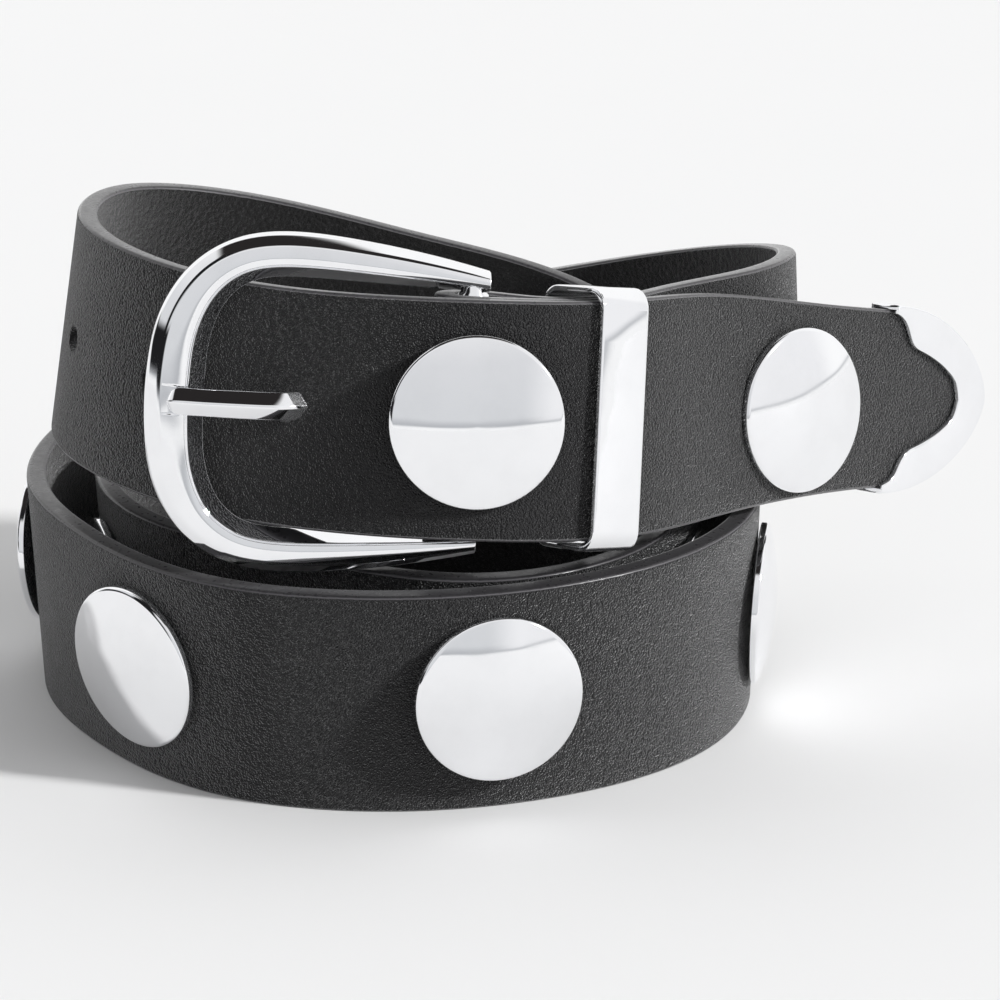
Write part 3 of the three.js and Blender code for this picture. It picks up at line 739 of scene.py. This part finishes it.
def stations_between(marks, step):
    """Distances from the first mark to the last, on every mark and about a step apart."""
    runs = [
        np.linspace(a, b, max(int(math.ceil((b - a) / step)), 1), endpoint=False)
        for a, b in zip(marks[:-1], marks[1:])
    ]
    return np.concatenate([*runs, [marks[-1]]])


def pointed(share):
    """Half width share of the pointed end, from 1 at its root to 0 at the point."""
    return (1 - np.minimum(share, 1) ** 2) ** 0.6


def pressed_flat(belt, points, on_grain):
    """Grain-side points under a stud, moved down to the stud's flat seat where they stand above it."""
    z = belt.z
    for f in belt.stud_frames():
        offset = points - f.centre
        height = offset @ f.outward - (z.strap_thickness / 2 + z.fit_gap / 2)
        radial = np.hypot(offset @ f.along, offset @ f.across)
        under = on_grain & (radial < z.stud / 2 + z.fit_gap) & (np.abs(height) < 3 * MM)
        points = points - np.where(under, np.maximum(height, 0), 0)[:, None] * f.outward
    return points


def strap_surface(belt):
    """The whole strap: the section swept along the leather, with every hole and the slot for the
    prong let in as a patch from the grid's square opening to a circle or a stadium."""
    z = belt.z
    start = -belt.fold_arc - z.fold_back
    root = belt.route.length - z.cap_length + z.cap_metal
    point_length = belt.route.length - root - z.cap_metal - z.fit_gap
    tip_shares = np.array([0.1, 0.2, 0.3, 0.4, 0.5, 0.6, 0.7, 0.78, 0.85, 0.9, 0.94, 0.97, 0.985, 0.995])
    margin = 3.3 * MM
    slot = (-belt.fold_arc - 7.5 * MM, 7.5 * MM)
    openings = [(slot[0], slot[1], z.prong_width / 2 + 0.45 * MM)]
    openings += [(s - margin, s + margin, z.hole / 2) for s in sorted(belt.hole_distances())]
    marks = [start, start + 0.3 * MM, start + 0.8 * MM, start + 1.6 * MM, start + 9 * MM]
    for low, high, _ in openings:
        marks += [low, high]
    marks += [root]
    w = stations_between(marks, 1.9 * MM)
    w = np.unique(np.concatenate([w, *[np.linspace(a, b, 9) for a, b, _ in openings[1:]]]).round(9))
    w = np.concatenate([w, root + tip_shares * point_length])

    f = belt.sweep(w)
    from_end = np.minimum(w - start, 9 * MM)
    rounding = 9 * MM - np.sqrt(np.maximum((9 * MM) ** 2 - (9 * MM - from_end) ** 2, 0))
    half = f.half - rounding
    half[-len(tip_shares):] *= pointed(tip_shares)
    v, n = strap_section(half, z.strap_thickness, z.edge_round)
    end_thin = np.interp(w - start, [0, 0.3 * MM, 0.8 * MM, 1.6 * MM], [0.35, 0.7, 0.93, 1.0])
    n = n * end_thin[:, None]
    points = (
        f.centre[:, None] + v[..., None] * f.across[:, None] + n[..., None] * f.outward[:, None]
    ).reshape(-1, 3)
    w_all = np.repeat(w, RING_POINTS)
    v_all, n_all = v.ravel(), n.ravel()
    half_all = np.repeat(half, RING_POINTS)
    faces = grid_faces(len(w), RING_POINTS)

    row = faces[:, 0] // RING_POINTS
    column = faces[:, 0] % RING_POINTS
    first, last = SIDE_CELLS, SIDE_CELLS + BLOCK_CELLS
    back_start = FACE_POINTS + 2 * ARC_CELLS
    mirrored = back_start + FACE_POINTS - 1
    in_block = ((column >= first) & (column < last)) | (
        (column > mirrored - last - 1) & (column < mirrored - first) & (column >= back_start)
    )
    parts, part_faces = [(w_all, v_all, n_all, half_all, points)], []
    keep = np.ones(len(faces), bool)
    count = len(points)
    for low, high, radius in openings:
        i0, i1 = np.abs(w - low).argmin(), np.abs(w - high).argmin()
        keep &= ~(in_block & (row >= i0) & (row < i1))
        patch = opening_patch(belt, w, v, i0, i1, first, last, radius)
        patch_faces = grid_faces(patch.rows, patch.columns, start=count)
        parts.append((patch.w, patch.v, patch.n, patch.half, patch.points))
        part_faces.append(patch_faces)
        count += len(patch.points)
    caps = [np.arange(RING_POINTS), np.arange(len(points) - RING_POINTS, len(points))]
    w_all, v_all, n_all, half_all = (np.concatenate([p[i] for p in parts]) for i in range(4))
    points = np.concatenate([p[4] for p in parts])
    on_grain = (n_all > z.strap_thickness * 0.3) & (w_all > 0)
    points = pressed_flat(belt, points, on_grain)
    points[:, 2] = np.maximum(points[:, 2], 0)
    faces = [*np.concatenate([faces[keep], *part_faces]), *caps]
    attributes = {
        "side": n_all / (z.strap_thickness / 2),
        "rim": (half_all - np.abs(v_all)) / MM,
    }
    return points, faces, np.stack([w_all, v_all], axis=1), attributes


def opening_patch(belt, w, v, i0, i1, first, last, radius):
    """Grid from the border of a block of cells to a hole: each border point B is carried to
    C = c + radius (B - c) / |B - c|, c its nearest point on the hole's middle line, first on the
    grain side, then down the hole's wall and out again to the border on the flesh side."""
    z = belt.z
    across = np.arange(first, last + 1)
    down = np.arange(i0, i1 + 1)
    border = [(i0, j) for j in across] + [(i, last) for i in down[1:]]
    border += [(i1, j) for j in across[::-1][1:]] + [(i, first) for i in down[::-1][1:-1]]
    border = np.array(border)
    bw, bv = w[border[:, 0]], v[border[:, 0], border[:, 1]]
    inset = 1.15 * MM + radius
    low, high = w[i0] + inset, w[i1] - inset
    if low > high:
        low = high = (w[i0] + w[i1]) / 2
    cw = np.clip(bw, low, high)
    distance = np.hypot(bw - cw, bv)
    hw, hv = cw + radius * (bw - cw) / distance, radius * bv / distance
    t = z.strap_thickness / 2
    lip = 0.16 * MM
    rows = [(1, t), (0.5, t), (0.16, t), (0.05, t - lip * 0.3), (0, t - lip), (0, 0), (0, lip - t)]
    rows += [(0.05, lip * 0.3 - t), (0.16, -t), (0.5, -t), (1, -t)]
    share = np.array([r[0] for r in rows])[:, None]
    pw, pv = hw + share * (bw - hw), hv + share * (bv - hv)
    pn = np.broadcast_to(np.array([r[1] for r in rows])[:, None], pw.shape)
    f = belt.sweep(pw.ravel())
    points = f.centre + pv.ravel()[:, None] * f.across + pn.ravel()[:, None] * f.outward
    return SimpleNamespace(
        rows=len(rows), columns=len(border), w=pw.ravel(), v=pv.ravel(), n=pn.ravel(),
        half=f.half, points=points,
    )


def frame_surface(belt):
    """Buckle frame: the softened bevel section carried round the D outline, (u, v) running from the
    outer to the inner outline and n with the rise, its two ends drawn in, and a saddle worn into
    the toe where the prong rests."""
    z = belt.z
    half = table_columns(FRAME_COLUMNS, FRAME_OUTLINE)
    outer = [half.outer_u * z.frame_length, half.outer_v * z.frame_height / 2]
    inner = [half.inner_u * z.frame_length, half.inner_v * z.frame_height / 2]
    upper = np.stack([*outer, *inner], axis=1)
    rows = np.concatenate([upper, (upper * [1, -1, 1, -1])[:-1][::-1]])
    outline = NaturalSpline(np.arange(len(rows)), rows)
    last = len(rows) - 1
    fine = np.linspace(last / 2 - 0.6, last / 2 + 0.6, 71)
    t = np.unique(np.concatenate([np.linspace(0, last, 151), fine]).round(6))
    ou, ov, iu, iv = outline.at(t).T[..., None]
    bevel = table_columns(BEVEL_COLUMNS, FRAME_SECTION)
    bar_width = 7.5 * MM
    scale = np.array([bar_width, z.frame_thickness])
    section = softened(np.stack([bevel.across, bevel.rise], axis=1) * scale, bevel.cut * MM) / scale
    across, rise = section[:, 0], section[:, 1]
    u = ou + (iu - ou) * across
    v = ov + (iv - ov) * across
    n = np.broadcast_to((rise - 0.5) * z.frame_thickness, u.shape).copy()
    prong = prong_line(belt)
    under = np.interp(u, prong.u, prong.n) - z.prong_thickness / 2 - 0.02 * MM
    reach = np.clip((z.prong_width / 2 + 0.22 * MM - np.abs(v)) / (0.3 * MM), 0, 1)
    beyond = np.clip((prong.u[-1] + 0.2 * MM - u) / (0.3 * MM), 0, 1)
    depth = np.maximum(n - under, 0) * (u > z.frame_length * 0.6) * beyond
    n = n - depth * reach * reach * (3 - 2 * reach)
    points = placed(belt.buckle, u, v, n)
    middle = points.mean(axis=1, keepdims=True)
    ends = []
    for ring, sign in ((0, 1), (-1, -1)):
        inward = unit(points[ring + sign] - points[ring]).mean(axis=0)
        base, centre = points[ring], middle[ring]
        ends.append([
            centre + (base - centre) * share - inward * bulge * MM
            for share, bulge in ((1, 0), (0.985, 0.12), (0.95, 0.2), (0.5, 0.22), (0.02, 0.22))
        ])
    rings = np.concatenate([np.array(ends[0][::-1]), points[1:-1], np.array(ends[1])])
    faces = grid_faces(len(rings), rings.shape[1])
    caps = [np.arange(rings.shape[1]), np.arange(rings.shape[1]) + (len(rings) - 1) * rings.shape[1]]
    return rings.reshape(-1, 3), [*faces, *caps]


def turned_surface(frame_at, axis, profile, segments=48):
    """Body of revolution: each profile point [radius, height] turned about an axis through a frame's
    centre, with a pole where the radius is 0."""
    profile = np.asarray(profile, float)
    turned_from = frame_at.along if abs(np.dot(axis, frame_at.along)) < 0.9 else frame_at.outward
    side = unit(np.cross(axis, turned_from))
    other = np.cross(axis, side)
    angle = 2 * np.pi * np.arange(segments) / segments
    spoke = np.cos(angle)[:, None] * side + np.sin(angle)[:, None] * other
    points = frame_at.centre + profile[:, 1, None, None] * axis + profile[:, 0, None, None] * spoke
    faces = grid_faces(len(profile), segments)
    caps = [np.arange(segments), np.arange(segments) + (len(profile) - 1) * segments]
    return points.reshape(-1, 3), [*faces, *caps]


def heel_bar_surface(belt):
    """Round heel bar, drawn in where it passes into the arms of the frame."""
    z = belt.z
    reach, r = z.frame_height / 2 * 0.78, z.heel_bar / 2
    inner = z.frame_height / 2 * 0.7
    soft = 0.5 * MM
    upper = [
        (r, inner), (r * 0.8, inner + soft), (r * 0.8, reach - soft), (r * 0.6, reach), (r * 0.2, reach),
    ]
    profile = [*((radius, -height) for radius, height in upper[::-1]), (r, 0), *upper]
    return turned_surface(belt.buckle, belt.heel.across, profile, 40)


def prong_line(belt):
    """The prong's middle line from its spline: u along the buckle, n in front, width share."""
    z = belt.z
    side = table_columns(PRONG_COLUMNS, PRONG_SIDE)
    rows = np.stack([side.reach * z.frame_length, side.rise * z.frame_thickness, side.width], axis=1)
    spline = NaturalSpline(rows[:, 0], rows)
    u = np.linspace(rows[0, 0], rows[-1, 0], 150)
    values = spline.at(u)
    slope = unit(spline.at(u + 0.1 * MM)[:, :2] - values[:, :2])
    return SimpleNamespace(u=values[:, 0], n=values[:, 1], width=values[:, 2], slope=slope)


def prong_surface(belt):
    """Prong: a ridged section, flat below and meeting in a soft crest above, carried along its
    line, and its tip closed by drawing the section in as a blunt superellipse."""
    z = belt.z
    line = prong_line(belt)
    tip_start = 0.958
    share = np.linspace(0, 1, len(line.u))
    run = np.clip((share - tip_start) / (1 - tip_start), 0, 1)
    draw = np.maximum(1 - run**2.4, 0.03) ** (1 / 2.4)
    w, t = z.prong_width / 2, z.prong_thickness / 2
    corners = [(w * 0.86, -t), (w, -t * 0.6), (w * 0.99, -t * 0.22), (w * 0.09, t), (-w * 0.09, t),
               (-w * 0.99, -t * 0.22), (-w, -t * 0.6), (-w * 0.86, -t)]
    cuts = np.array([0.2, 0.16, 0.2, 0.18, 0.18, 0.2, 0.16, 0.2]) * MM
    section = softened(corners, cuts)
    v = section[None, :, 0] * (line.width * draw)[:, None]
    rise = section[None, :, 1] * (0.25 + 0.75 * draw)[:, None]
    u = line.u[:, None] - line.slope[:, 1:2] * rise
    n = line.n[:, None] + line.slope[:, 0:1] * rise
    rings = placed(belt.buckle, u, v, n)
    count = rings.shape[1]
    faces = grid_faces(len(rings), count)
    caps = [np.arange(count), np.arange(count) + (len(rings) - 1) * count]
    points, all_faces = rings.reshape(-1, 3), [*faces, *caps]

    inner = z.heel_bar / 2 + z.fit_gap
    outer = inner + z.prong_wall
    band = softened([(inner, -w), (outer, -w), (outer, w), (inner, w)], [0.3 * MM] * 4)
    angle = 2 * np.pi * np.arange(56) / 56
    axis = belt.heel.across
    side = unit(np.cross(axis, belt.buckle.along))
    other = np.cross(axis, side)
    spoke = np.cos(angle)[:, None] * side + np.sin(angle)[:, None] * other
    loop = belt.buckle.centre + band[None, :, 0:1] * spoke[:, None] + band[None, :, 1:2] * axis
    loop_faces = grid_faces(len(angle), len(band), wrap_rows=True, start=len(points))
    return np.concatenate([points, loop.reshape(-1, 3)]), [*all_faces, *loop_faces]


def keeper_surface(belt):
    """Keeper: a rounded strip section, u along the strap and depth out of the metal, carried round
    a rounded rectangle in the plane across the strap."""
    z = belt.z
    f = belt.route.frame(belt.route.length - z.keeper_from_tip)
    f = leant(f, "across", "along", z.keeper_slant)
    front = z.strap_thickness / 2 + z.keeper_gap
    back = -(z.strap_thickness / 2 + 2 * belt.pitch + 1.9 * z.keeper_gap)
    half = z.strap_width / 2 + z.keeper_gap
    r = z.keeper_corner
    corners = [(half, front), (-half, front), (-half, back), (half, back)]
    outline = []
    for quarter, (v, n) in enumerate(corners):
        centre = np.array([v - math.copysign(r, v), n - r if n == front else n + r])
        angle = np.pi / 2 * (quarter + np.linspace(0, 1, 9))
        normal = np.stack([np.cos(angle), np.sin(angle)], axis=1)
        outline.append(np.concatenate([centre + r * normal, normal], axis=1))
        follow = np.array(corners[(quarter + 1) % 4])
        straight = np.linspace(0, 1, 8)[1:-1, None]
        a = centre + r * normal[-1]
        b = a + np.abs(normal[-1][::-1]) * np.sign(follow - np.array([v, n])) * (
            np.abs(follow - np.array([v, n])) - 2 * r
        )
        run = a + (b - a) * straight
        outline.append(np.concatenate([run, np.broadcast_to(normal[-1], run.shape)], axis=1))
    outline = np.concatenate(outline)
    reach, metal = z.keeper_length / 2, z.keeper_metal
    strip = softened([(-reach, 0), (-reach, metal), (reach, metal), (reach, 0)],
                     np.array([0.12, 0.42, 0.42, 0.12]) * MM, 5)
    crown = 0.12 * MM * (1 - (strip[:, 0] / reach) ** 2) * (strip[:, 1] > metal * 0.9)
    depth = strip[:, 1] - 0.12 * MM * (strip[:, 1] > metal * 0.9) + crown
    v = outline[:, 0, None] + outline[:, 2, None] * depth
    n = outline[:, 1, None] + outline[:, 3, None] * depth
    rings = placed(f, np.broadcast_to(strip[:, 0], v.shape), v, n)
    return rings.reshape(-1, 3), list(grid_faces(len(rings), rings.shape[1], wrap_rows=True))


def cap_surface(belt):
    """End cap: a U section from the arch on the front face, round the pointed rim, to the arch on
    the back face and back inside, carried from one side of the cap's mouth to the other."""
    z = belt.z
    f = belt.route.frame(belt.route.length - z.cap_length / 2)
    wall = z.cap_metal + z.fit_gap
    base = f.half + wall
    t = np.linspace(-1, 1, 121)
    share = np.sin(np.pi / 2 * (1 - np.abs(t)))
    side = np.where(t < 0, 1.0, -1.0)
    rim_u = (share - 0.5) * z.cap_length
    rim_v = side * base * pointed(share)
    rim = np.stack([rim_u, rim_v], axis=1)
    arch = NaturalSpline(np.arange(len(CAP_ARCH)), np.array(CAP_ARCH))
    arch_at = table_columns(ARCH_COLUMNS, arch.at((1 - np.abs(t)) * (len(CAP_ARCH) - 1)))
    arch_u = (arch_at.reach - 0.5) * z.cap_length
    arch_v = side * np.maximum(arch_at.half, 0) * (base - wall)
    lip = np.stack([arch_u, arch_v], axis=1)
    h = z.strap_thickness / 2 + wall
    m = z.cap_metal
    soft = 0.45 * MM
    to_lip = lip - rim
    width = np.linalg.norm(to_lip, axis=1, keepdims=True)
    inward = to_lip / width
    shoulder = rim + inward * np.minimum(soft * 2.2, width * 0.5)
    front = [
        (lip, h - m),
        (lip, h - m + 0.1 * MM),
        (lip, h - 0.14 * MM),
        (lip - inward * 0.1 * MM, h - 0.03 * MM),
        (lip - inward * 0.3 * MM, h),
        (shoulder, h),
    ]
    for angle in np.linspace(0, np.pi / 2, 5):
        front.append((rim + inward * soft * (1 - np.sin(angle)), h - soft + soft * np.cos(angle)))
    profile = [*front, *((point, -height) for point, height in front[::-1])]
    inner = rim + inward * np.minimum(m, width * 0.7)
    profile += [(inner, m - h), (inner, 0), (inner, h - m)]
    uv = np.stack([p[0] for p in profile], axis=1)
    n = np.broadcast_to(np.array([p[1] for p in profile]), uv.shape[:2])
    rings = placed(f, uv[..., 0], uv[..., 1], n)
    count = rings.shape[1]
    faces = grid_faces(len(rings), count)
    caps = [np.arange(count), np.arange(count) + (len(rings) - 1) * count]
    return rings.reshape(-1, 3), [*faces, *caps]


def stud_surface(belt, f):
    """Stud: a low spherical dome, height = wall + rise (1 - p^2) at p of its radius, a tight
    shoulder, an upright rim, a flat underside off the leather and the post that holds it."""
    z = belt.z
    r = z.stud / 2
    seat = z.strap_thickness / 2 + z.fit_gap
    wall, rise = z.stud_wall, z.stud_height - z.stud_wall
    shares = (0.02, 0.1, 0.2, 0.3, 0.4, 0.5, 0.6, 0.7, 0.8, 0.88, 0.93, 0.955, 0.965)
    dome = [(r * p, seat + wall + rise * (1 - p**2)) for p in shares]
    edge = dome[-1][1]
    post = z.stud_post / 2
    profile = dome + [
        (r - 0.3 * MM, edge - 0.1 * MM), (r - 0.14 * MM, edge - 0.2 * MM), (r - 0.04 * MM, edge - 0.34 * MM),
        (r, edge - 0.5 * MM), (r, edge - 0.62 * MM), (r, seat + 0.3 * MM), (r, seat + 0.16 * MM),
        (r - 0.05 * MM, seat + 0.05 * MM), (r - 0.17 * MM, seat), (r - 0.3 * MM, seat), (r - 1 * MM, seat),
        (post + 0.2 * MM, seat), (post, seat - 0.1 * MM), (post, z.fit_gap - z.strap_thickness / 2),
        (post * 0.3, z.fit_gap - z.strap_thickness / 2),
    ]
    return turned_surface(f, f.outward, profile, 80)


class BELT_OT_strap(bpy.types.Operator):
    """Make the leather strap with its fold, its holes and its pointed end"""

    bl_idname = "belt.strap"
    bl_label = "Make Strap"

    def execute(self, context):
        belt = Belt(context.scene.belt_sizes)
        points, faces, uv, attributes = strap_surface(belt)
        leather = material_named("belt_leather", belt_leather)
        make_piece("leather_strap", points, faces, leather, "leather", ("strap",), uv, attributes)
        return {"FINISHED"}


class BELT_OT_buckle(bpy.types.Operator):
    """Make the buckle's frame, heel bar and prong"""

    bl_idname = "belt.buckle"
    bl_label = "Make Buckle"

    def execute(self, context):
        belt = Belt(context.scene.belt_sizes)
        plating = material_named("bright_plating", plated_metal)
        make_piece("plated_frame", *frame_surface(belt), plating, "chrome", ("buckle_frame",))
        make_piece("plated_heel_bar", *heel_bar_surface(belt), plating, "chrome")
        make_piece("plated_prong", *prong_surface(belt), plating, "chrome", ("buckle_prong",))
        return {"FINISHED"}


class BELT_OT_keeper(bpy.types.Operator):
    """Make the metal keeper"""

    bl_idname = "belt.keeper"
    bl_label = "Make Keeper"

    def execute(self, context):
        belt = Belt(context.scene.belt_sizes)
        plating = material_named("bright_plating", plated_metal)
        make_piece("plated_keeper", *keeper_surface(belt), plating, "chrome", ("keeper",))
        return {"FINISHED"}


class BELT_OT_cap(bpy.types.Operator):
    """Make the metal end cap"""

    bl_idname = "belt.end_cap"
    bl_label = "Make End Cap"

    def execute(self, context):
        belt = Belt(context.scene.belt_sizes)
        plating = material_named("bright_plating", plated_metal)
        make_piece("plated_end_cap", *cap_surface(belt), plating, "chrome", ("tip_cap",))
        return {"FINISHED"}


class BELT_OT_studs(bpy.types.Operator):
    """Make all the domed studs"""

    bl_idname = "belt.studs"
    bl_label = "Make Studs"

    def execute(self, context):
        belt = Belt(context.scene.belt_sizes)
        plating = material_named("bright_plating", plated_metal)
        for number, f in enumerate(belt.stud_frames(), start=1):
            points, faces = stud_surface(belt, f)
            make_piece(f"plated_stud_{number:02d}", points, faces, plating, "chrome", (f"stud_{number:02d}",))
        return {"FINISHED"}


class BELT_OT_stage(bpy.types.Operator):
    """Make the floor, the soft light and the camera"""

    bl_idname = "belt.stage"
    bl_label = "Make Stage"

    def execute(self, context):
        scene = context.scene
        mesh = bpy.data.meshes.new("pale_floor")
        reach = 3.0
        mesh.from_pydata([(-reach, -reach, 0), (reach, -reach, 0), (reach, reach, 0), (-reach, reach, 0)],
                         [], [(0, 1, 2, 3)])
        mesh.materials.append(material_named("pale_sweep", pale_floor))
        floor = bpy.data.objects.new("pale_floor", mesh)
        scene.collection.objects.link(floor)
        self.light_world(scene)
        self.add_lights(scene)
        self.add_camera(scene)
        scene.view_settings.view_transform = "Standard"
        scene.view_settings.look = "None"
        return {"FINISHED"}

    @staticmethod
    def light_world(scene):
        """Studio walls: bright behind and to the right, grey in front, with dark flags low at the
        left, from there up over the front, and overhead."""
        world = bpy.data.worlds.new("soft_studio")
        scene.world = world
        world.use_nodes = True
        f = Finish(world.node_tree)
        direction = f.node("ShaderNodeTexCoord", out=0)
        right, back, height = (
            f.node("ShaderNodeSeparateXYZ", None, {"Vector": direction}, out=i) for i in range(3)
        )
        wall = f.node("ShaderNodeValToRGB", {"stops": (
            (0.0, (0.86, 0.86, 0.86, 1)), (0.499, (0.86, 0.86, 0.86, 1)), (0.503, (0.4, 0.41, 0.43, 1)),
            (0.53, (0.61, 0.62, 0.635, 1)), (0.72, (0.64, 0.645, 0.66, 1)), (0.82, (0.74, 0.74, 0.75, 1)),
            (1.0, (0.7, 0.7, 0.7, 1)),
        )}, {"Fac": height * 0.5 + 0.5})
        raised = f.between(height, 0.0, 0.03)
        flag = (0.012, 0.012, 0.013, 1)
        wall = mixed_colours(f, f.between(right, 0.4, 0.65) * raised, wall, (0.8, 0.8, 0.81, 1))
        wall = mixed_colours(f, f.between(back, 0.05, 0.3) * raised, wall, (0.9, 0.9, 0.9, 1))
        aside = f.between(right, -0.55, -0.75) * f.between(back, 0.5, 0.3) * raised
        wall = mixed_colours(f, aside * f.between(height, 0.26, 0.18), wall, flag)
        corner = f.between(back, -0.6, -0.5) * f.between(back, -0.1, -0.2) * f.between(right, -0.1, -0.3)
        wall = mixed_colours(f, corner * f.between(height, 0.1, 0.18), wall, flag)
        overhead = f.between(height, 0.82, 0.87) * f.between(back, 0.36, 0.26)
        bands = mixed_colours(f, overhead, wall, (0.02, 0.018, 0.018, 1))
        sky = f.node("ShaderNodeBackground", None, {"Color": bands, "Strength": 1.14})
        f.node("ShaderNodeOutputWorld", None, {"Surface": sky})

    @staticmethod
    def add_lights(scene):
        """A small key from low on the right, a little in front."""
        key = bpy.data.lights.new("key", "SUN")
        key.energy = 3.1
        key.angle = math.radians(6)
        key_object = bpy.data.objects.new("key", key)
        key_object.rotation_euler = (math.radians(61), 0, math.radians(69))
        scene.collection.objects.link(key_object)

    @staticmethod
    def add_camera(scene):
        """The photograph's angle: 17.5 degrees above the floor, 0.7 m away."""
        camera = bpy.data.cameras.new("camera")
        camera.lens = 151.2
        camera.sensor_width = 36
        camera_object = bpy.data.objects.new("camera", camera)
        camera_object.location = (-0.00032, -0.68446, 0.2496)
        camera_object.rotation_euler = (math.radians(72.5), 0, 0)
        scene.collection.objects.link(camera_object)
        scene.camera = camera_object


class BELT_PT_panel(bpy.types.Panel):
    """Buttons and sizes of the belt"""

    bl_idname = "BELT_PT_panel"
    bl_label = "Studded Belt"
    bl_space_type = "VIEW_3D"
    bl_region_type = "UI"
    bl_category = "Belt"

    def draw(self, context):
        for operator in PIECES:
            self.layout.operator(operator.bl_idname)
        for group in (context.scene.belt_sizes, context.scene.belt_colours):
            column = self.layout.column()
            for key in group.__annotations__:
                column.prop(group, key)


PIECES = (BELT_OT_strap, BELT_OT_buckle, BELT_OT_keeper, BELT_OT_cap, BELT_OT_studs, BELT_OT_stage)
CLASSES = (BELT_PG_sizes, BELT_PG_colours, *PIECES, BELT_PT_panel)


def register():
    for each in CLASSES:
        bpy.utils.register_class(each)
    bpy.types.Scene.belt_sizes = bpy.props.PointerProperty(type=BELT_PG_sizes)
    bpy.types.Scene.belt_colours = bpy.props.PointerProperty(type=BELT_PG_colours)


def unregister():
    del bpy.types.Scene.belt_colours
    del bpy.types.Scene.belt_sizes
    for each in reversed(CLASSES):
        bpy.utils.unregister_class(each)


def main():
    register()
    bpy.ops.belt.strap()
    bpy.ops.belt.buckle()
    bpy.ops.belt.keeper()
    bpy.ops.belt.end_cap()
    bpy.ops.belt.studs()
    bpy.ops.belt.stage()


if __name__ == "__main__":
    main()
